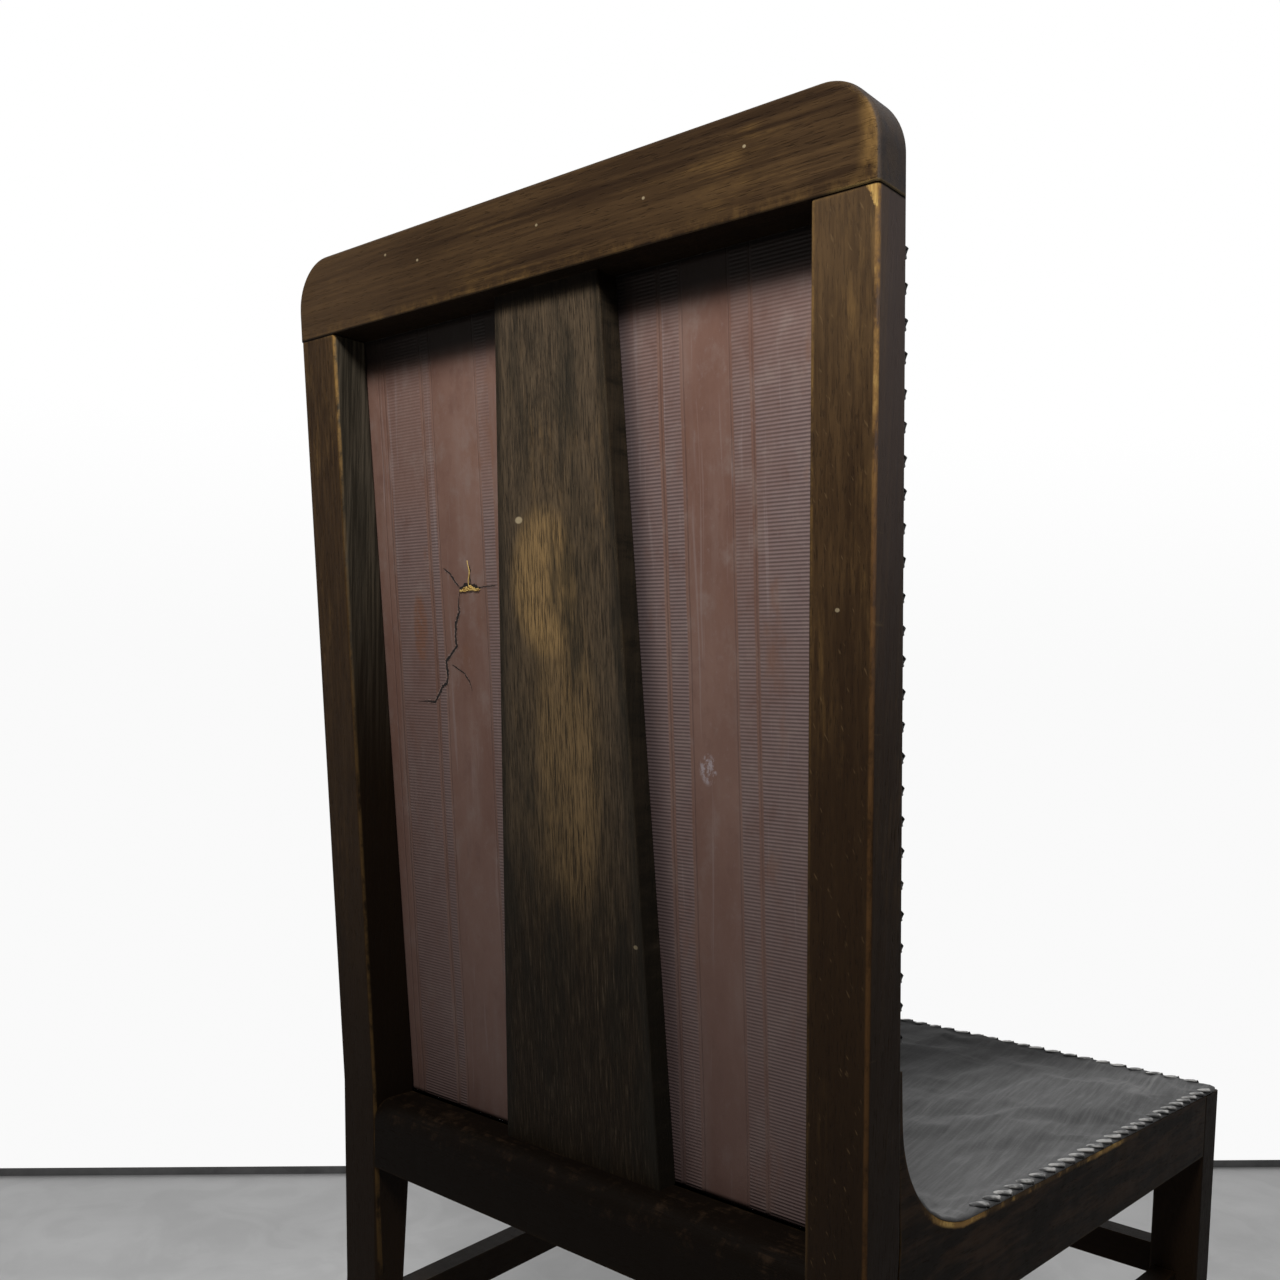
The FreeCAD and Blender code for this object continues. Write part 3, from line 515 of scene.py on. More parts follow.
def side_rail_marks(finish, colour):
    """Brown streaks, and bare golden wood in patches along the upper edge, brightest in the sweep."""
    scuff = finish.scuff
    out_y = finish.y - cover_line.centre.y
    out_z = finish.z - cover_line.centre.z
    reach = (out_y * out_y + out_z * out_z).math("SQRT") - SWEEP
    level = cover_line.foot.z + (cover_line.foot.y - finish.y) * cover_line.rise - finish.z
    before = 1.0 - finish.y.step(cover_line.foot.y - 0.001, cover_line.foot.y + 0.001)
    under = before * level + (1.0 - before) * reach + (scuff - 0.5) * 0.004
    streak = finish.noise(finish.stretched(90.0, 16.0, 130.0, 9.0), detail=5.0, rough=0.65)
    streak = streak.step(0.40, 0.64) * (1.0 - under.step(0.03, 0.07))
    colour = (streak * 0.75).mix(colour, SIDE_RAIL_STREAK)
    bare = under.step(0.0016, 0.0028) * (1.0 - under.step(0.0044, 0.0066))
    sweep = (finish.y - cover_line.foot.y).band(-0.014, 0.040, 0.008)
    spot = finish.y.band(-0.085, -0.040, 0.008)
    patch = finish.noise(finish.stretched(40.0, 75.0, 40.0, 3.0), detail=5.0, rough=0.7)
    much = (sweep * 0.9 + spot * 0.8 + patch.step(0.50, 0.64) * 0.7).clamp()
    ends = finish.y.step(-0.13, -0.08) * (1.0 - finish.y.step(0.160, 0.178))
    colour = (bare * ends * (much * 0.75 + 0.12)).mix(colour, GOLDEN_WOOD)
    return (bare * ends * much * scuff.step(0.47, 0.62) * 0.8).mix(colour, PALE_CHIP)


# Finishes of the hidden pieces

def plain_wood(name, axis):
    """Unstained softwood of the hidden blocks and dowels."""
    finish = Finish(name)
    broad = finish.noise(grain_place(finish, axis, 90.0, 6.0, 2.0), detail=4.0, bend=0.5)
    stain = finish.noise(finish.place, scale=14.0, detail=4.0)
    colour = broad.step(0.3, 0.7).mix((0.16, 0.095, 0.045), (0.30, 0.19, 0.095))
    colour = (stain.step(0.5, 0.75) * 0.6).mix(colour, (0.06, 0.035, 0.018))
    return finish.dress(Base_Color=colour, Roughness=0.75, Normal=finish.bump(broad, 0.3, 0.0006))


def dull_steel(name):
    """Old blued steel with rust spots."""
    finish = Finish(name)
    spots = finish.noise(finish.place, scale=700.0, detail=3.0)
    colour = spots.step(0.45, 0.7).mix((0.20, 0.19, 0.18), (0.12, 0.055, 0.025))
    return finish.dress(Base_Color=colour, Metallic=0.9, Roughness=0.45 + spots * 0.3)


def woven(name, first, second, pitch):
    """Plain weave in the level plane, soiled in clouds."""
    finish = Finish(name)
    turns = math.pi / pitch
    warp = (finish.x * turns).math("SINE")
    weft = (finish.y * turns).math("SINE")
    check = (warp * weft).step(-0.5, 0.5)
    cloth = check * warp.math("ABSOLUTE") + (1.0 - check) * weft.math("ABSOLUTE")
    slub = finish.noise(finish.stretched(350.0, 60.0, 60.0, 5.0), detail=3.0)
    soil = finish.noise(finish.place, scale=11.0, detail=5.0)
    colour = (cloth * 0.6 + slub * 0.5).mix(first, second)
    colour = (soil.step(0.42, 0.75) * 0.5).mix(colour, tuple(c * 0.4 for c in first))
    return finish.dress(Base_Color=colour, Roughness=0.95, Normal=finish.bump(cloth, 0.7, 0.0009))


# Finish of the lining: stripes and lines by their distance from the middle, low and high

RIB_PITCH = 0.00203
NEAR_STRIPES = ((0.040, 0.069, 1.0), (0.0728, 0.0845, 1.0), (0.1195, 0.1305, 0.9), (0.1335, 0.190, 1.0))
FAR_STRIPES = ((0.0675, 0.0775, 0.9), (0.1225, 0.1290, 0.9), (0.1330, 0.1665, 0.8))
NEAR_LINES = ((0.0700, 0.0712), (0.0862, 0.0872), (0.1172, 0.1181), (0.1316, 0.1326))
FAR_LINES = ((0.0790, 0.0800), (0.1205, 0.1213), (0.1303, 0.1314), (0.1684, 0.1698), (0.1745, 0.1752))
LINING_RED = (0.148, 0.072, 0.050)
LINING_PINK = (0.208, 0.120, 0.091)
LINING_STREAK = (0.218, 0.152, 0.128)
LINING_RUBBED = (0.168, 0.079, 0.048)
RIB_TROUGH_SHADE = (0.108, 0.072, 0.067)
RIB_CREST_HIGHLIGHT = (0.228, 0.168, 0.160)
LINING_LINE = (0.052, 0.032, 0.029)
LINING_PALE_BLOTCH = (0.240, 0.180, 0.156)
LINING_DARK_BLOTCH = (0.122, 0.058, 0.042)
LINING_DUST = (0.26, 0.205, 0.198)
LINING_SCRAPE = (0.42, 0.37, 0.39)
LINING_STAIN = (0.180, 0.074, 0.037)
LINING_SCRATCH = (0.29, 0.225, 0.212)
LINING_SPLAT_SHADOW = (0.022, 0.017, 0.020)
LINING_LOW_SHADE = (0.046, 0.027, 0.024)


def ribbed_lining(name):
    """Red-brown lining: level ribs in upright stripes with painted highlight and shade, worn and dusty,
    painted shade darker towards the seat, and painted shadows of the splat and the crest.
    """
    finish = Finish(name)
    wander = finish.noise(finish.stretched(5.0, 5.0, 9.0, 31.0), detail=2.0)
    far_side = finish.x.step(-0.001, 0.001)
    out = finish.x.math("ABSOLUTE") + (wander - 0.5) * 0.0016
    wave = (finish.z * (2.0 * math.pi / RIB_PITCH)).math("SINE")
    ripple = wave * 0.5 + 0.5
    stripes = 0.0
    for side, bands in ((1.0 - far_side, NEAR_STRIPES), (far_side, FAR_STRIPES)):
        for low, high, depth in bands:
            stripes = out.band(low, high, 0.0006) * side * depth + stripes
    lines = 0.0
    for side, bands in ((1.0 - far_side, NEAR_LINES), (far_side, FAR_LINES)):
        for low, high in bands:
            lines = out.band(low, high, 0.0004) * side + lines
    cloud = finish.noise(finish.stretched(13.0, 13.0, 6.0, 4.0), detail=6.0, rough=0.65)
    streak = finish.noise(finish.stretched(85.0, 85.0, 3.5, 9.0), detail=4.0)
    dust = finish.noise(finish.stretched(330.0, 330.0, 240.0, 2.0), detail=4.0, rough=0.72)
    rubbed = finish.noise(finish.stretched(45.0, 45.0, 16.0, 19.0), detail=5.0, rough=0.6)
    blotch = finish.noise(finish.stretched(58.0, 58.0, 40.0, 37.0), detail=6.0, rough=0.7)
    kept = (cloud.step(0.25, 0.55) * 0.45 + 0.55) * (1.0 - rubbed.step(0.56, 0.72) * 0.75)
    faded = far_side * finish.z.step(0.84, 0.88) * 0.55 + (1.0 - far_side) * finish.z.step(0.86, 0.95) * 0.45
    ribs = stripes * kept * (1.0 - faded)
    plain = cloud.step(0.3, 0.72).mix(LINING_RED, LINING_PINK)
    plain = (streak.step(0.5, 0.8) * 0.5).mix(plain, LINING_STREAK)
    plain = (rubbed.step(0.56, 0.78) * 0.7).mix(plain, LINING_RUBBED)
    # Mauve-grey ribs, their crests painted pale as highlight and their troughs dark as shade.
    ribbed = (ripple * 0.7 + dust * 0.3).mix(RIB_TROUGH_SHADE, RIB_CREST_HIGHLIGHT)
    colour = (ribs * 0.85).mix(plain, ribbed)
    colour = (lines * 0.26 * (1.0 - faded)).mix(colour, LINING_LINE)
    colour = (blotch.step(0.50, 0.72) * 0.42).mix(colour, LINING_PALE_BLOTCH)
    colour = ((1.0 - blotch.step(0.30, 0.47)) * 0.42).mix(colour, LINING_DARK_BLOTCH)
    colour = (dust.step(0.56, 0.8) * 0.30).mix(colour, LINING_DUST)
    scrape = near_point(finish, -0.0966, 0.7026, 0.007, 0.010) * dust.step(0.45, 0.6)
    colour = (scrape * 0.75).mix(colour, LINING_SCRAPE)
    stain = near_point(finish, 0.1450, 0.783, 0.0085, 0.028) * dust.step(0.30, 0.55) * blotch.step(0.35, 0.55)
    colour = (stain * 0.75).mix(colour, LINING_STAIN)
    scratch = finish.noise(finish.stretched(210.0, 60.0, 5.0, 27.0), detail=3.0, bend=0.6).step(0.62, 0.70)
    colour = (scratch * 0.30).mix(colour, LINING_SCRATCH)
    # Painted shadow of the splat on the lining beside its near side.
    splat_shadow = (1.0 - (0.0 - finish.x - splat_half(finish)).step(0.0, 0.017)) * (1.0 - far_side)
    colour = (splat_shadow * 0.72).mix(colour, LINING_SPLAT_SHADOW)
    # Darker towards the seat: painted shade of the light falling from above.
    low = 1.0 - finish.z.step(0.46, 0.96)
    colour = (low * 0.66).mix(colour, LINING_LOW_SHADE)
    # Painted shadow of the crest across the lining's top.
    colour = (finish.z.step(lining_high.z - 0.029, lining_high.z - 0.012) * 0.93).mix(colour, GRIME_AND_SHADE)
    relief = finish.bump(dust * 0.3 + cloud * 0.6, 0.35, 0.0008)
    relief = finish.bump(ribs * ripple - lines * 0.8, 0.5, 0.0006, relief)
    rough = 0.58 - ribs * ripple * 0.16 + dust * 0.2
    return finish.dress(Base_Color=colour, Roughness=rough, Normal=relief, Specular_IOR_Level=0.35)


# Finishes of the leather and of the torn lining

HIDE_SLANT = 0.14
HIDE_BLACK = (0.042, 0.0422, 0.0425)
HIDE_GREY = (0.170, 0.169, 0.1685)
HIDE_RUBBED = (0.170, 0.169, 0.166)
HIDE_DARK = (0.012, 0.012, 0.0125)
HIDE_FAR_SHADE = (0.010, 0.010, 0.0103)
THONG_BLACK = (0.013, 0.0125, 0.012)
THONG_BROWN = (0.11, 0.104, 0.098)
THONG_RUBBED_HIGHLIGHT = (0.62, 0.61, 0.58)
THONG_CROWN_HIGHLIGHT = (0.68, 0.66, 0.63)


def black_leather(name):
    """Black hide: pebbled grain, long slanting rub marks, greyed by wear, with painted shade on the seat's
    far side.
    """
    finish = Finish(name)
    pebble = finish.node("TexVoronoi", {"feature": "SMOOTH_F1"}, Vector=finish.place, Scale=560.0)
    across = finish.x + finish.y * HIDE_SLANT
    along = finish.y - finish.x * HIDE_SLANT + finish.z
    drawn = finish.noise(finish.vector(across * 48.0, along * 3.0, 1.0), detail=5.0, rough=0.6, bend=0.5)
    brushed = finish.noise(finish.vector(across * 330.0, along * 16.0, 5.0), detail=5.0, rough=0.7)
    wide = finish.noise(finish.stretched(9.0, 5.0, 5.0, 3.0), detail=5.0)
    fine = finish.noise(finish.place, scale=190.0, detail=5.0, rough=0.65)
    grey = wide.step(0.25, 0.8) * 0.30 + fine.step(0.35, 0.8) * 0.15 + brushed.step(0.38, 0.68) * 0.34
    colour = grey.mix(HIDE_BLACK, HIDE_GREY)
    seat = 1.0 - finish.z.step(SEAT_REAR + 0.04, SEAT_REAR + 0.14)
    rubbed = drawn.step(0.56, 0.68) * brushed.step(0.32, 0.62) * (seat * 0.42 + 0.20)
    colour = rubbed.mix(colour, HIDE_RUBBED)
    colour = ((1.0 - drawn.step(0.32, 0.44)) * 0.35).mix(colour, HIDE_DARK)
    # Painted shade over the seat's far side, which is also made rougher.
    far_seat_shade = (finish.x - finish.y * 0.45).step(-0.09, 0.03) * seat
    colour = (far_seat_shade * 0.80).mix(colour, HIDE_FAR_SHADE)
    relief = finish.bump(pebble, 0.3, 0.0003)
    relief = finish.bump(drawn + brushed * 0.4, 0.25, 0.0020, relief)
    rough = 0.40 + fine * 0.25 + far_seat_shade * 0.25
    return finish.dress(Base_Color=colour, Roughness=rough, Normal=relief, Specular_IOR_Level=0.20)


def thong_leather(name):
    """Lacing thong: black and brown, rubbed pale and with painted highlights on its tops."""
    finish = Finish(name)
    rub = finish.noise(finish.place, scale=110.0, detail=4.0)
    fine = finish.noise(finish.place, scale=800.0, detail=3.0)
    crown = finish.node("NewGeometry", outlet=POINTINESS)
    upward = split_axes(finish.node("NewGeometry", outlet=NORMAL))[2]
    colour = rub.step(0.40, 0.68).mix(THONG_BLACK, THONG_BROWN)
    # Up-facing tops rubbed pale and painted as highlight.
    colour = (upward.step(0.55, 0.95) * rub.step(0.38, 0.60) * 0.55).mix(colour, THONG_RUBBED_HIGHLIGHT)
    # Painted highlight on the stitches' crowns.
    colour = (crown.step(0.50, 0.57) * 0.8).mix(colour, THONG_CROWN_HIGHLIGHT)
    relief = finish.bump(fine, 0.4, 0.0004)
    return finish.dress(Base_Color=colour, Roughness=0.28 + fine * 0.2, Normal=relief)


def crack_dark(name):
    """Inside of the torn lining."""
    finish = Finish(name)
    fibre = finish.noise(finish.place, scale=900.0, detail=3.0)
    colour = fibre.step(0.4, 0.7).mix((0.004, 0.003, 0.0025), (0.02, 0.011, 0.008))
    return finish.dress(Base_Color=colour, Roughness=0.95)


def torn_lip(name):
    """Raw edge of the torn lining."""
    finish = Finish(name)
    fibre = finish.noise(finish.place, scale=1200.0, detail=3.0)
    colour = fibre.step(0.4, 0.65).mix((0.09, 0.046, 0.034), (0.27, 0.185, 0.155))
    return finish.dress(Base_Color=colour, Roughness=0.9)


def yellow_fibre(name):
    """Stuffing that shows through the tear."""
    finish = Finish(name)
    fibre = finish.noise(finish.place, scale=650.0, detail=4.0)
    colour = fibre.step(0.3, 0.7).mix((0.30, 0.165, 0.03), (0.75, 0.53, 0.17))
    return finish.dress(Base_Color=colour, Roughness=0.9, Normal=finish.bump(fibre, 0.6, 0.001))


def pale_ground(name, light, dark, scale):
    """Faintly clouded floor or edge strip."""
    finish = Finish(name)
    cloud = finish.noise(finish.place, scale=scale, detail=7.0, rough=0.6)
    vein = finish.noise(finish.place, scale=scale * 2.7, detail=5.0, bend=1.5)
    shade = (cloud.step(0.35, 0.7) * 0.7 + vein.step(0.4, 0.6) * 0.3).mix(light, dark)
    return finish.dress(Base_Color=shade, Roughness=0.7)


# Mesh helpers

def mesh_piece(name, vertices, faces, material, smooth=True):
    """New mesh object with one material."""
    mesh = bpy.data.meshes.new(name)
    mesh.from_pydata([tuple(v) for v in vertices], [], faces)
    mesh.validate()
    piece = bpy.data.objects.new(name, mesh)
    bpy.context.scene.collection.objects.link(piece)
    mesh.materials.append(material)
    for polygon in mesh.polygons:
        polygon.use_smooth = smooth
    return piece


def fitted(piece, slot, *nodes):
    """The piece rides on the chair and stands for CAD nodes, which it hides. The slot argument is not used.
    """
    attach(piece, "root")
    if nodes:
        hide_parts(*nodes)
    return piece


def join_parts(parts):
    """Vertices and faces of many small parts as one list."""
    vertices, faces = [], []
    for part_vertices, part_faces in parts:
        first = len(vertices)
        vertices += part_vertices
        faces += [tuple(i + first for i in face) for face in part_faces]
    return vertices, faces


def slab(upper, lower):
    """Closed skin between two grids of points of the same size."""
    rows, columns = len(upper), len(upper[0])
    vertices = [p for row in upper for p in row] + [p for row in lower for p in row]
    base = rows * columns
    faces = []
    for i in range(rows - 1):
        for j in range(columns - 1):
            a, b = i * columns + j, i * columns + j + 1
            c, d = b + columns, a + columns
            faces.append((a, b, c, d))
            faces.append((base + d, base + c, base + b, base + a))
    rim = list(range(columns))
    rim += [i * columns + columns - 1 for i in range(1, rows)]
    rim += [(rows - 1) * columns + j for j in range(columns - 2, -1, -1)]
    rim += [i * columns for i in range(rows - 2, 0, -1)]
    for here, there in zip(rim, rim[1:] + rim[:1]):
        faces.append((there, here, base + here, base + there))
    return vertices, faces


def turned(faces):
    """The same faces, looking the other way."""
    return [tuple(reversed(face)) for face in faces]


def tube(rings):
    """Closed tube through rings of points, capped at both ends."""
    count = len(rings[0])
    vertices = [v for ring in rings for v in ring]
    faces = []
    for row in range(len(rings) - 1):
        for i in range(count):
            j = (i + 1) % count
            faces.append((row * count + i, row * count + j, (row + 1) * count + j, (row + 1) * count + i))
    last = (len(rings) - 1) * count
    faces.append(tuple(reversed(range(count))))
    faces.append(tuple(last + i for i in range(count)))
    return vertices, faces


def thread(points, radius, sides=6):
    """Thin round thread through points, tapering at both ends."""
    rings = []
    for number, point in enumerate(points):
        before = points[max(number - 1, 0)]
        after = points[min(number + 1, len(points) - 1)]
        way = (after - before).normalized()
        side = way.orthogonal().normalized()
        other = way.cross(side)
        share = number / (len(points) - 1)
        size = radius * max(0.15, math.sin(math.pi * min(max(share, 0.06), 0.94))) ** 0.5
        rings.append([point + (side * math.cos(a) + other * math.sin(a)) * size
                      for a in (2 * math.pi * i / sides for i in range(sides))])
    return tube(rings)


# Leather cover

class CoverLine:
    """Outer line of the leather in the YZ plane: down the back, round the sweep, along the seat."""

    def __init__(self):
        lean = math.atan(FRONT_SLOPE)
        self.rise = (SEAT_FRONT - SEAT_REAR) / (POST_FRONT - cover_low.y)
        tilt = math.atan(self.rise)
        self.back_normal = Vector((0, -math.cos(lean), math.sin(lean)))
        self.seat_normal = Vector((0, math.sin(tilt), math.cos(tilt)))
        back_way = Vector((0, -math.sin(lean), -math.cos(lean)))
        seat_way = Vector((0, -math.cos(tilt), math.sin(tilt)))
        base = Vector((0, POST_FRONT, SEAT_REAR))
        on_back = base + self.back_normal * (LINING + FELT + LEATHER)
        back_reach = on_back + self.back_normal * SWEEP
        seat_reach = base + self.seat_normal * SWEEP
        run = (seat_reach - back_reach).dot(self.seat_normal) / back_way.dot(self.seat_normal)
        self.centre = back_reach + back_way * run
        self.head = self.centre - self.back_normal * SWEEP
        self.foot = self.centre - self.seat_normal * SWEEP
        self.back_way, self.seat_way = back_way, seat_way
        self.top = self.head + back_way * ((cover_high.z - self.head.z) / back_way.z)
        self.front = self.foot + seat_way * ((cover_low.y - self.foot.y) / seat_way.y)
        self.turn = self.back_normal.angle(self.seat_normal)
        self.back_run = (self.head - self.top).length
        self.sweep_run = SWEEP * self.turn
        self.seat_run = (self.front - self.foot).length
        self.length = self.back_run + self.sweep_run + self.seat_run

    def at(self, run):
        """Point and outward normal at a run from the top."""
        if run <= self.back_run:
            return self.top + self.back_way * run, self.back_normal.copy()
        run -= self.back_run
        if run <= self.sweep_run:
            share = run / self.sweep_run
            normal = self.back_normal.slerp(self.seat_normal, share)
            return self.centre - normal * SWEEP, normal
        run -= self.sweep_run
        return self.foot + self.seat_way * run, self.seat_normal.copy()

    def half(self, point):
        """Half the leather's width at a point of the line."""
        share = min(max((point.z - self.foot.z) / (self.head.z - self.foot.z), 0.0), 1.0)
        width = rail_x(point.y) * (1.0 - share) + (post_x(point.z) - LEATHER_INSET) * share
        left = min(max(LEATHER_CORNER - (point.y - cover_low.y), 0.0), LEATHER_CORNER)
        return width - LEATHER_CORNER + math.sqrt(LEATHER_CORNER ** 2 - left ** 2)


cover_line = CoverLine()

COVER_RUNS = 226
CORNER_RUNS = 8
COVER_ROWS = COVER_RUNS + CORNER_RUNS
COVER_COLUMNS = 90
SEAT_LACE_PITCH = 0.014
BACK_LACE_PITCH = 0.016
SEAT_CROWN = 0.0035
BACK_CROWN = 0.0020
SETTLE_FRAMES = 18
SETTLE_FLOOR = -0.0006
SETTLE_CAP = 0.0035
LACED_SHARE = 0.45
HELD_COLUMNS = 3
HIDE_CLOTH = {
    "quality": 5,
    "mass": 0.35,
    "tension_stiffness": 30,
    "compression_stiffness": 30,
    "shear_stiffness": 12,
    "bending_stiffness": 0.6,
    "shrink_min": -0.008,
    "use_pressure": True,
    "uniform_pressure_force": 0.6,
}
HIDE_RIPPLE = 0.0004
HIDE_RIDGE = 0.006
RIDGE_START = 0.86
EDGE_DRAWN = 0.0004
EDGE_ROUNDING = 0.0006


def edge_share(column, columns):
    """Share across from -1 to 1, with finer steps at the edges."""
    t = column / (columns - 1) * 2 - 1
    return 0.72 * t + 0.28 * math.sin(t * math.pi / 2)


def smooth(low, high, value):
    """Smooth rise from 0 at low to 1 at high."""
    t = min(max((value - low) / (high - low), 0.0), 1.0)
    return t * t * (3 - 2 * t)


def crown(run, share):
    """How far the stuffing lifts the leather."""
    fall = (1 - share * share) ** 0.75 if abs(share) < 1 else 0.0
    seat = smooth(cover_line.back_run + cover_line.sweep_run * 0.6, cover_line.length - 0.17, run)
    seat *= 1 - smooth(cover_line.length - 0.10, cover_line.length, run)
    back = smooth(0.0, 0.12, run) * (1 - smooth(cover_line.back_run - 0.1, cover_line.back_run + 0.03, run))
    return fall * (SEAT_CROWN * seat + BACK_CROWN * back)


def lace_pitch(run):
    """Step of the lacing beside a run from the top."""
    return SEAT_LACE_PITCH if run > cover_line.back_run + cover_line.sweep_run else BACK_LACE_PITCH


def cover_run(row):
    """Run of a row from the top, with finer steps at the front corners."""
    main = cover_line.length - LEATHER_CORNER
    if row < COVER_RUNS:
        return main * row / (COVER_RUNS - 1)
    turn = (row - COVER_RUNS + 1) / CORNER_RUNS * math.pi / 2
    return main + LEATHER_CORNER * math.sin(turn)


def cover_grid():
    """Rows of place, normal, run, share across and half width on the leather's outer face."""
    grid = []
    for i in range(COVER_ROWS):
        run = cover_run(i)
        point, normal = cover_line.at(run)
        half = cover_line.half(point)
        row = []
        for j in range(COVER_COLUMNS):
            share = edge_share(j, COVER_COLUMNS)
            place = Vector((half * share, point.y, point.z))
            row.append((place, normal, run, share, half))
        grid.append(row)
    return grid


def settle(grid):
    """Lets the slack hide settle between its laced edges by cloth simulation; returns each point's move."""
    vertices, faces = [], []
    for row in grid:
        for place, normal, run, share, half in row:
            vertices.append(place + normal * crown(run, share))
    for i in range(COVER_ROWS - 1):
        for j in range(COVER_COLUMNS - 1):
            a = i * COVER_COLUMNS + j
            faces.append((a, a + 1, a + 1 + COVER_COLUMNS, a + COVER_COLUMNS))
    mesh = bpy.data.meshes.new("hide")
    mesh.from_pydata([tuple(v) for v in vertices], [], faces)
    hide = bpy.data.objects.new("hide", mesh)
    bpy.context.scene.collection.objects.link(hide)
    held = hide.vertex_groups.new(name="held")
    for i, row in enumerate(grid):
        run = row[0][2]
        laced = (run / lace_pitch(run)) % 1.0 < LACED_SHARE
        for j in range(COVER_COLUMNS):
            rim = j in (0, COVER_COLUMNS - 1) or i in (0, COVER_ROWS - 1)
            beside = min(j, COVER_COLUMNS - 1 - j) < HELD_COLUMNS
            if rim or (laced and beside):
                held.add([i * COVER_COLUMNS + j], 1.0, "REPLACE")
    cloth = hide.modifiers.new("cloth", "CLOTH")
    cloth.settings.vertex_group_mass = "held"
    for name, value in HIDE_CLOTH.items():
        setattr(cloth.settings, name, value)
    cloth.settings.effector_weights.gravity = 0.0
    cloth.collision_settings.use_collision = False
    cloth.point_cache.frame_end = SETTLE_FRAMES
    scene = bpy.context.scene
    for step in range(1, SETTLE_FRAMES + 1):
        scene.frame_set(step)
    graph = bpy.context.evaluated_depsgraph_get()
    settled = hide.evaluated_get(graph).to_mesh()
    moves = []
    for number, vertex in enumerate(settled.vertices):
        place, normal, run, share, half = grid[number // COVER_COLUMNS][number % COVER_COLUMNS]
        move = (vertex.co - place).dot(normal)
        moves.append(min(max(move, SETTLE_FLOOR), SETTLE_CAP + crown(run, share)))
    bpy.data.objects.remove(hide)
    scene.frame_set(1)
    return moves


def leather_cover():
    """The hide: settled over its stuffing, drawn down at the lacing, with rounded cut edges."""
    grid = cover_grid()
    moves = settle(grid)
    upper, lower = [], []
    for i, row in enumerate(grid):
        top, under = [], []
        for j, (place, normal, run, share, half) in enumerate(row):
            rim = min(half * (1 - abs(share)), cover_line.length - run, run)
            turns = 2 * math.pi * run / lace_pitch(run)
            drawn = EDGE_DRAWN * (1 - smooth(0.002, 0.016, rim)) * math.cos(turns)
            ripple = noise.fractal(place * 38.0, 1.0, 2.0, 4) * HIDE_RIPPLE
            ridge = 1 - abs(noise.noise(Vector((place.x * 42.0, place.y * 5.0, place.z * 9.0 + 4.0))))
            ridge = max(ridge - RIDGE_START, 0.0) * HIDE_RIDGE
            calm = smooth(0.003, 0.03, rim)
            lift = moves[i * COVER_COLUMNS + j] + (ripple + ridge) * calm + drawn
            lift -= EDGE_ROUNDING * (1 - smooth(0.0, 0.003, rim))
            top.append(place + normal * lift)
            under.append(place - normal * LEATHER)
        upper.append(top)
        lower.append(under)
    vertices, faces = slab(upper, lower)
    piece = mesh_piece("leather_hide", vertices, turned(faces), black_leather("black_leather"))
    fitted(piece, "black_leather", "leather_cover", "seat_wadding", "back_wadding")
    return piece


# Lacing: the step, reach, slant, drop, width and plumpness of its turns

Lace = namedtuple("Lace", "pitch reach slant drop width plump")
SEAT_LACE = Lace(SEAT_LACE_PITCH, reach=0.0066, slant=0.0080, drop=0.0020, width=0.0064, plump=0.0020)
BACK_LACE = Lace(BACK_LACE_PITCH, reach=0.0070, slant=0.0050, drop=0.0018, width=0.0058, plump=0.0007)
FRONT_LACE = SEAT_LACE._replace(width=0.0066, plump=0.0014)
STITCH_SIDES = 12
STITCH_SHARES = (1.0, 0.95, 0.87, 0.76, 0.63, 0.49, 0.35, 0.22, 0.11, 0.03)
STITCH_TURNS = (0.3, 0.7, 1.0)
STITCH_FALLS = (0.5, 1.0)
STITCH_BULGE = 0.2
LACE_MARGIN = 0.0025
FRONT_CLEAR = 0.010
SWEEP_CLEAR = 0.006
TOP_CLEAR = 0.006
SIDE_SEED = 40
FRONT_SEED = 50


def thong_stitch(corner, along, inward, up, lace, dice):
    """One turn of the thong: a plump almond over the leather's face, bent over the edge and tucked in."""
    lead = lace.slant / lace.reach
    last = len(STITCH_SHARES + STITCH_TURNS + STITCH_FALLS) - 1
    stout = lace.width * dice.uniform(0.9, 1.1)
    plump = lace.plump * dice.uniform(0.85, 1.15)
    leaves = [math.sin(math.pi * (0.04 + 0.94 * number / last)) ** 0.75 for number in range(last + 1)]
    path = []
    for share in STITCH_SHARES:
        rise = plump * leaves[len(path)] * STITCH_BULGE
        place = corner + inward * (lace.reach * share) + along * (lace.slant * share)
        path.append((place + up * rise, up))
    for turn in STITCH_TURNS:
        angle = turn * math.pi / 2
        outward = up * math.cos(angle) - inward * math.sin(angle)
        rise = plump * leaves[len(path)] * STITCH_BULGE
        path.append((corner + outward * rise - along * (lead * rise * angle), outward))
    for fall in STITCH_FALLS:
        rise = plump * leaves[len(path)] * STITCH_BULGE
        down = lace.drop * fall
        low = corner - inward * rise - up * down
        path.append((low - along * (lead * (rise * math.pi / 2 + down)), -inward))
    rings = []
    for number, (point, outward) in enumerate(path):
        before, after = path[max(number - 1, 0)][0], path[min(number + 1, last)][0]
        way = (after - before).normalized()
        side = way.cross(outward).normalized()
        normal = side.cross(way)
        wide = stout * leaves[number] / 2
        thick = plump * leaves[number]
        ring = []
        for i in range(STITCH_SIDES):
            angle = 2 * math.pi * i / STITCH_SIDES
            lift = thick * (0.5 * math.sin(angle) + 0.1)
            ring.append(point + side * (wide * math.cos(angle)) + normal * lift)
        rings.append(ring)
    return tube(rings)


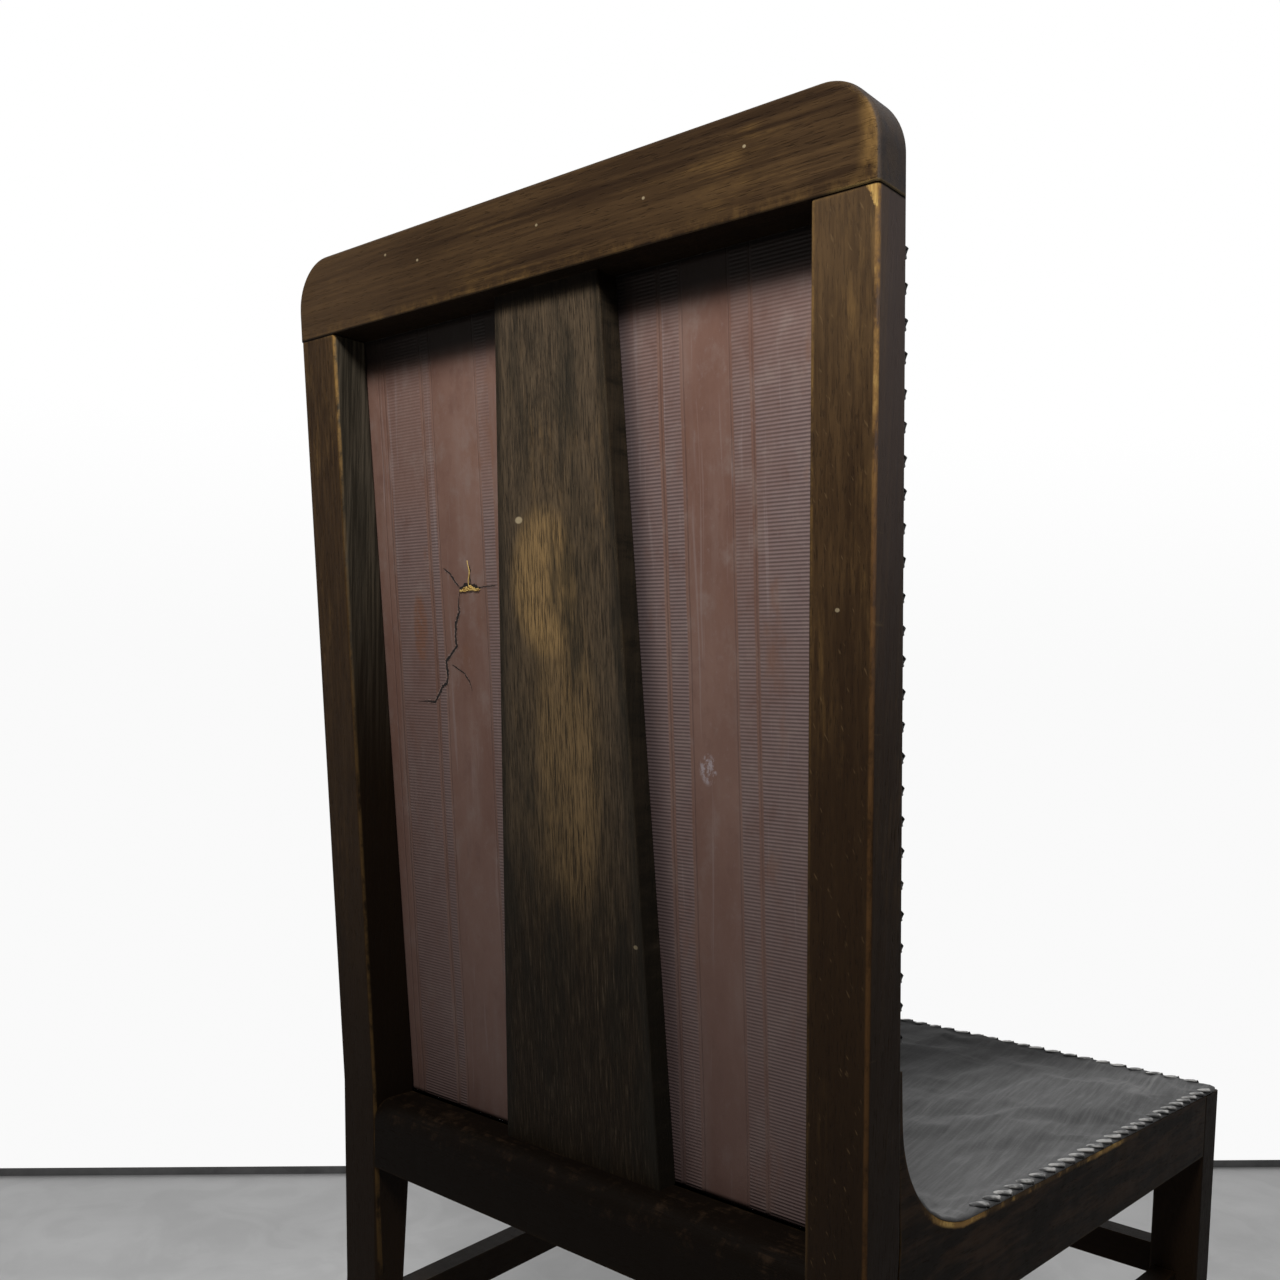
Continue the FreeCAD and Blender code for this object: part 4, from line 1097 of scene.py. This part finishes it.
def lace_run(start, end, inward, up, lace, seed):
    """Stitches at an even pitch from start to end, each a little different."""
    dice = random.Random(seed)
    way = end - start
    along = way.normalized()
    count = int(way.length / lace.pitch)
    first = (way.length - (count - 1) * lace.pitch - 2 * LACE_MARGIN) / 2
    parts = []
    for number in range(count):
        run = first + number * lace.pitch + LACE_MARGIN + dice.uniform(-0.0008, 0.0008)
        reach = lace.reach * dice.uniform(0.88, 1.1)
        slant = lace.slant * dice.uniform(0.85, 1.15)
        own = lace._replace(reach=reach, slant=slant)
        parts.append(thong_stitch(start + along * run, along, inward, up, own, dice))
    return parts


def mirror_parts(parts):
    """The same parts on the sitter's right."""
    return [([Vector((-v.x, v.y, v.z)) for v in vertices], turned(faces)) for vertices, faces in parts]


def seat_side_lacing():
    """Start, end, inward way and upward way of the lacing along a side of the seat."""
    front = cover_line.front - cover_line.seat_way * FRONT_CLEAR
    rear = cover_line.foot + cover_line.seat_way * SWEEP_CLEAR
    start = Vector((rail_x(front.y), front.y, front.z))
    end = Vector((rail_x(rear.y), rear.y, rear.z))
    splay = math.atan(SPLAY)
    inward = Vector((-math.cos(splay), -math.sin(splay), 0))
    up = (end - start).cross(inward).normalized()
    return start, end, inward, up


def back_side_lacing():
    """Start, end, inward way and upward way of the lacing up a side of the back."""
    low, high = (cover_line.head + cover_line.back_way * ((z - cover_line.head.z) / cover_line.back_way.z)
                 for z in (max(side_high.z, cover_line.head.z), lining_high.z - TOP_CLEAR))
    start = Vector((post_x(low.z) - LEATHER_INSET, low.y, low.z))
    end = Vector((post_x(high.z) - LEATHER_INSET, high.y, high.z))
    inward = (end - start).cross(Vector((0, 1, 0))).normalized()
    up = (end - start).cross(inward).normalized()
    return start, end, inward, up


def lace_edges():
    """All laced edges of the hide."""
    thong = thong_leather("lacing_thong")
    runs = (("lacing_seat", seat_side_lacing(), SEAT_LACE), ("lacing_back", back_side_lacing(), BACK_LACE))
    seed = SIDE_SEED
    for name, line, lace in runs:
        for hand in ("left", "right"):
            parts = lace_run(*line, lace, seed)
            seed += 1
            if hand == "right":
                parts = mirror_parts(parts)
            piece = mesh_piece(name + "_thong_" + hand, *join_parts(parts), thong)
            fitted(piece, "thong", name + "_" + hand)
    edge = cover_line.front
    half = FRONT_HALF - FRONT_CLEAR
    start, end = Vector((-half, edge.y, edge.z)), Vector((half, edge.y, edge.z))
    parts = lace_run(start, end, -cover_line.seat_way, cover_line.seat_normal, FRONT_LACE, FRONT_SEED)
    piece = mesh_piece("lacing_front_thong", *join_parts(parts), thong)
    fitted(piece, "thong", "lacing_front")


# Lining of the back

LINING_ROWS = 150
LINING_COLUMNS = 120
HORN_TOP = side_high.z
HORN_NOTCH = 0.023
SPLAT_NARROWING = 0.36
LINING_MARGIN = post_x(lining_high.z) - lining_high.x
TEAR = (((0.1188, 0.8223), (0.112, 0.8185), (0.1085, 0.8140), (0.1030, 0.8089)),
        ((0.0880, 0.8085), (0.0780, 0.8092), (0.0690, 0.8095)),
        ((0.1030, 0.8089), (0.1052, 0.7995), (0.1054, 0.7930), (0.1088, 0.7871), (0.1100, 0.7790),
         (0.1096, 0.7716), (0.1150, 0.7665), (0.1207, 0.7618), (0.1198, 0.7540), (0.1210, 0.7473),
         (0.1262, 0.7445), (0.1300, 0.7390), (0.1342, 0.7343), (0.1420, 0.7349), (0.1521, 0.7339)),
        ((0.1158, 0.7598), (0.1085, 0.7563), (0.1033, 0.7540), (0.0990, 0.7490), (0.0963, 0.7424)))
TEAR_WIDTHS = (0.0011, 0.0007, 0.0018, 0.0007)
TEAR_STEPS = 6
TEAR_SEED = 7
TEAR_HOLLOW = ((0.1035, 0.8092), (0.0960, 0.8100), (0.0900, 0.8098), (0.0850, 0.8088))
TEAR_SPUR = ((0.0925, 0.8110), (0.0930, 0.8170), (0.0920, 0.8235))
TUFT_STRANDS = 110
TUFT_MIDDLE = 0.094
TUFT_HALF = 0.0095
TUFT_FOOT = 0.8068
TUFT_HEIGHT = 0.0034


def lining_sag(x, z):
    """Slack of the lining between the posts and the splat, towards the leather."""
    splat_side = splat_high.x * (1.0 - SPLAT_NARROWING * (z - rail_high.z) / (crest_low.z - rail_high.z))
    post_side = post_x(z) - POST_WIDTH
    free = smooth(0.0, 0.02, abs(x) - splat_side) * smooth(0.0, 0.02, post_side - abs(x))
    free *= smooth(0.0, 0.03, z - lining_low.z) * smooth(0.0, 0.03, lining_high.z - z)
    wave = noise.fractal(Vector((x * 9.0, 2.0, z * 6.0)), 1.0, 2.0, 3)
    return free * (0.0006 + 0.0007 * wave)


def back_lining():
    """Lining sheet on the posts' fronts, slack between them and the splat."""
    upper, lower = [], []
    for i in range(LINING_ROWS):
        z = lining_low.z + (lining_high.z - lining_low.z) * i / (LINING_ROWS - 1)
        half = post_x(z) - LINING_MARGIN
        half -= HORN_NOTCH * (1 - smooth(HORN_TOP - 0.001, HORN_TOP + 0.001, z))
        outer, inner = [], []
        for j in range(LINING_COLUMNS):
            x = half * (2 * j / (LINING_COLUMNS - 1) - 1)
            y = plane_y(z) - max(lining_sag(x, z), 0.0)
            outer.append(Vector((x, y, z)))
            inner.append(Vector((x, y - LINING, z)))
        upper.append(outer)
        lower.append(inner)
    vertices, faces = slab(upper, lower)
    piece = mesh_piece("lining_sheet", vertices, turned(faces), ribbed_lining("ribbed_lining"))
    fitted(piece, "lining", "back_lining")
    return piece


def on_lining(x, z, proud):
    """Point on the lining's rear face, raised a little."""
    return Vector((x, plane_y(z) - max(lining_sag(x, z), 0.0) + proud, z))


def torn_line(points, width, dice, shift, proud):
    """Ragged ribbon along a tear, raised a hair above the lining."""
    fine = []
    for a, b in zip(points, points[1:]):
        for k in range(TEAR_STEPS):
            t = k / TEAR_STEPS
            fine.append((a[0] + (b[0] - a[0]) * t, a[1] + (b[1] - a[1]) * t))
    fine.append(points[-1])
    left, right = [], []
    last = len(fine) - 1
    for number, (x, z) in enumerate(fine):
        before, after = fine[max(number - 1, 0)], fine[min(number + 1, last)]
        way = Vector((after[0] - before[0], after[1] - before[1])).normalized()
        side = Vector((-way.y, way.x))
        share = number / last
        taper = max(min(share * 6, (1 - share) * 5, 1.0), 0.12)
        half = width / 2 * taper * dice.uniform(0.6, 1.3)
        x += dice.uniform(-0.0004, 0.0004)
        for edge, sign in ((left, 1), (right, -1)):
            place = (x + side.x * (half * sign + shift), z + side.y * (half * sign + shift))
            edge.append(on_lining(place[0], place[1], proud))
    vertices = left + right
    count = len(left)
    faces = [(i, i + 1, count + i + 1, count + i) for i in range(count - 1)]
    return vertices, faces


def lining_tear():
    """The tear in the lining on the sitter's left, with its raw lips and a tuft of stuffing."""
    dice = random.Random(TEAR_SEED)
    gaps, lips = [], []
    for points, width in zip(TEAR, TEAR_WIDTHS):
        gaps.append(torn_line(points, width, dice, 0.0, 0.00025))
        lips.append(torn_line(points, width * 0.5, dice, width * 0.62, 0.00015))
        lips.append(torn_line(points, width * 0.35, dice, -width * 0.58, 0.00015))
    gaps.append(torn_line(TEAR_HOLLOW, 0.0042, dice, 0.0004, 0.0002))
    gaps.append(torn_line(TEAR_SPUR, 0.0010, dice, 0.0, 0.00022))
    gap_piece = mesh_piece("lining_tear", *join_parts(gaps), crack_dark("tear_shadow"), smooth=False)
    lip_piece = mesh_piece("lining_tear_lips", *join_parts(lips), torn_lip("tear_lip"), smooth=False)
    strands = []
    for _ in range(TUFT_STRANDS):
        x = dice.uniform(0.0855, 0.1020)
        height = TUFT_HEIGHT * (1.0 - abs(x - TUFT_MIDDLE) / TUFT_HALF)
        z = TUFT_FOOT + dice.uniform(0.0, max(height, 0.0008))
        lean = dice.uniform(-0.0030, 0.0030)
        curl = dice.uniform(-0.0005, 0.0005)
        points = [on_lining(x, z, 0.0003), on_lining(x + lean * 0.5, z + curl, 0.0009),
                  on_lining(x + lean, z + dice.uniform(-0.0007, 0.0007), 0.0004)]
        strands.append(thread(points, dice.uniform(0.00025, 0.0005)))
    long_strand = [on_lining(0.0935 + 0.0008 * math.sin(k), 0.8085 + 0.0022 * k, 0.0006) for k in range(9)]
    strands.append(thread(long_strand, 0.0004))
    tuft = mesh_piece("stuffing_tuft", *join_parts(strands), yellow_fibre("yellow_fibre"))
    for piece in (gap_piece, lip_piece):
        fitted(piece, "lining")
    fitted(tuft, "wadding")


# Webbing and hessian under the seat

STRAP_WIDTH = 0.050
STRAP = 0.0016
STRAPS = 4
STRAP_STEP = 0.004
STRAP_COLUMNS = 9
HESSIAN_GRID = 60
HESSIAN_SLACK = 0.0003
LEG_CLEAR = 0.0005


def strap_places(low, high):
    """Middle lines of the straps, spread evenly between two outer edges."""
    return [low + STRAP_WIDTH / 2 + (high - low - STRAP_WIDTH) * i / (STRAPS - 1) for i in range(STRAPS)]


def strap_steps(low, high):
    """Even steps along a strap."""
    count = int((high - low) / STRAP_STEP)
    return [low + (high - low) * k / count for k in range(count + 1)]


def strap_mesh(length_points, middle, level_at):
    """One strap: rows along its length, each even across its width."""
    upper, lower = [], []
    for t in length_points:
        top, under = [], []
        for k in range(STRAP_COLUMNS):
            place = level_at(t, middle - STRAP_WIDTH / 2 + STRAP_WIDTH * k / (STRAP_COLUMNS - 1))
            top.append(place + Vector((0, 0, STRAP)))
            under.append(place)
        upper.append(top)
        lower.append(under)
    return slab(upper, lower)


def interlaced(position, others, sign):
    """Height of a strap as it passes over or under the straps that cross it."""
    height = 0.0
    half = STRAP_WIDTH / 2
    for number, other in enumerate(others):
        if (number + sign) % 2 == 0:
            height = max(height, 1 - smooth(half - 0.002, half + 0.012, abs(position - other)))
    return STRAP * height


def seat_straps():
    """Webbing under the seat, woven over and under."""
    long_x = strap_places(long_low.x, long_high.x)
    cross_y = strap_places(cross_low.y, cross_high.y)
    jute = woven("jute_webbing", (0.15, 0.095, 0.045), (0.36, 0.26, 0.14), 0.0022)
    for i, x in enumerate(long_x):
        strap = strap_mesh(strap_steps(long_low.y, long_high.y), x,
                           lambda t, s: Vector((s, t, long_low.z + interlaced(t, cross_y, i))))
        piece = mesh_piece("webbing_long_" + str(i + 1), *strap, jute)
        fitted(piece, "webbing", "webbing_lengthwise")
    for i, y in enumerate(cross_y):
        half = cross_high.x - (rail_x(cross_y[0]) - rail_x(y))
        vertices, faces = strap_mesh(strap_steps(-half, half), y,
                                     lambda t, s: Vector((t, s, cross_low.z - interlaced(t, long_x, i))))
        piece = mesh_piece("webbing_cross_" + str(i + 1), vertices, turned(faces), jute)
        fitted(piece, "webbing", "webbing_crosswise")
        2 * half


def seat_hessian():
    """Hessian over the webbing, a little slack between the straps."""
    upper, lower = [], []
    thickness = hessian_high.z - hessian_low.z
    leg_low, leg_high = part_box("front_leg_left")
    for i in range(HESSIAN_GRID):
        y = hessian_low.y + (hessian_high.y - hessian_low.y) * i / (HESSIAN_GRID - 1)
        half = hessian_high.x - (rail_x(hessian_low.y) - rail_x(y))
        if y < leg_high.y + LEG_CLEAR:
            half = min(half, leg_low.x - LEG_CLEAR)
        top, under = [], []
        for j in range(HESSIAN_GRID):
            x = half * (2 * j / (HESSIAN_GRID - 1) - 1)
            sag = HESSIAN_SLACK * noise.noise(Vector((x * 30.0, y * 30.0, 1.0)))
            top.append(Vector((x, y, hessian_high.z + sag)))
            under.append(Vector((x, y, hessian_high.z + sag - thickness * 0.7)))
        upper.append(top)
        lower.append(under)
    cloth = woven("hessian_cloth", (0.16, 0.105, 0.055), (0.40, 0.30, 0.17), 0.0017)
    piece = mesh_piece("hessian_sheet", *slab(upper, lower), cloth)
    fitted(piece, "hessian", "seat_hessian")


# Wood and fixings

RAIL_STAIN = ((0.0016, 0.0012, 0.0010), (0.006, 0.0040, 0.0030))
SPLAT_STAIN = ((0.040, 0.0290, 0.0190), (0.130, 0.089, 0.053))
SIDE_STAIN = ((0.009, 0.0055, 0.0033), (0.048, 0.029, 0.016))


def dress_frame():
    """Finishes of the wooden pieces and the fixings."""
    finishes = {
        "crest_rail": stained_wood("crest_wood", "X", 1.0, wear=0.5, marks=crest_marks),
        "rear_seat_rail": stained_wood("rear_rail_wood", "X", 5.0, *RAIL_STAIN, wear=0.25,
                                       marks=rear_rail_marks, gloss=0.05),
        "back_splat": stained_wood("splat_wood", "Z", 9.0, *SPLAT_STAIN, wear=0.3, marks=splat_marks),
        "front_seat_rail": stained_wood("front_rail_wood", "X", 31.0),
        "front_stretcher": stained_wood("front_stretcher_wood", "X", 33.0, wear=0.5),
    }
    for hand, shift, marks in (("left", 13.0, far_post_marks), ("right", 21.0, near_post_marks)):
        post = stained_wood("post_wood_" + hand, "Z", shift, marks=marks)
        leg = stained_wood("leg_wood_" + hand, "Z", shift + 2.0, wear=0.5)
        rail = stained_wood("side_rail_wood_" + hand, "Y", shift + 4.0, *SIDE_STAIN, marks=side_rail_marks)
        stretcher = stained_wood("stretcher_wood_" + hand, "Y", shift + 6.0, wear=0.5)
        finishes["rear_post_" + hand] = post
        finishes["front_leg_" + hand] = leg
        finishes["side_rail_" + hand] = rail
        finishes["side_stretcher_" + hand] = stretcher
    block = plain_wood("block_wood", "X")
    steel = dull_steel("dull_steel")
    for end in ("front", "rear"):
        for hand in ("left", "right"):
            finishes["corner_block_" + end + "_" + hand] = block
    finishes["crest_dowels"] = block
    finishes["corner_block_screws"] = steel
    finishes["webbing_tacks"] = steel
    for node, material in finishes.items():
        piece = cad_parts[node]
        piece.data.materials.clear()
        piece.data.materials.append(material)


# Room

FLOOR_EDGE = (Vector((1.372, -0.001, 0)), Vector((-0.027, -1.453, 0)))
FLOOR_REACH = 7.0
EDGE_STRIP = 0.012
OVERHEAD_PLACE = (-0.43, 1.00, 1.66)
OVERHEAD_TARGET = (-0.02, 0.25, 0.95)
OVERHEAD_SIZE = (0.30, 0.30)
OVERHEAD_POWER = 17


def area_light(name, place, target, size, power):
    """Soft rectangular light that the camera doesn't see."""
    data = bpy.data.lights.new(name, "AREA")
    data.shape = "RECTANGLE"
    data.size, data.size_y = size
    data.energy = power
    light = bpy.data.objects.new(name, data)
    light.location = place
    light.rotation_euler = (Vector(target) - Vector(place)).to_track_quat("-Z", "Y").to_euler()
    light.visible_camera = False
    bpy.context.scene.collection.objects.link(light)


def studio_light(wall_way):
    """White light from the far side and from above, little from behind the camera."""
    world = bpy.data.worlds.new("studio")
    bpy.context.scene.world = world
    world.use_nodes = True
    tree = world.node_tree
    x, y, z = split_axes(new_node(tree, "TexCoord"))
    ahead = x * wall_way.x + y * wall_way.y
    glow = (0.030 + ahead.step(-0.10, 0.60) * 0.98) * (0.945 + z.step(0.0, 0.30) * 0.06)
    background = tree.nodes["Background"]
    background.inputs["Strength"].default_value = 1.0
    feed(tree, background.inputs["Color"], glow.mix((0, 0, 0), (1, 1, 1)))


def room():
    """Pale floor that ends at a thin dark strip before white light."""
    ground = pale_ground("floor_finish", (0.68, 0.68, 0.68), (0.55, 0.55, 0.55), 3.0)
    strip = pale_ground("strip_finish", (0.16, 0.16, 0.16), (0.10, 0.10, 0.10), 9.0)
    first, second = FLOOR_EDGE
    along = (second - first).normalized()
    wall_way = Vector((-along.y, along.x, 0))
    if wall_way.dot(first) < 0:
        wall_way = -wall_way
    ends = [first - along * FLOOR_REACH, second + along * FLOOR_REACH]
    near = [end - wall_way * FLOOR_REACH for end in ends]
    floor = mesh_piece("floor", [ends[0], ends[1], near[1], near[0]], [(0, 1, 2, 3)], ground)
    if floor.data.polygons[0].normal.z < 0:
        floor.data.flip_normals()
    rise = Vector((0, 0, EDGE_STRIP))
    edge = mesh_piece("floor_edge", [ends[0], ends[1], ends[1] + rise, ends[0] + rise], [(0, 1, 2, 3)], strip)
    studio_light(wall_way)
    area_light("overhead", OVERHEAD_PLACE, OVERHEAD_TARGET, OVERHEAD_SIZE, OVERHEAD_POWER)
    bpy.context.scene.view_settings.view_transform = "Standard"


place_camera()
room()
dress_frame()
leather_cover()
lace_edges()
back_lining()
lining_tear()
seat_straps()
seat_hessian()
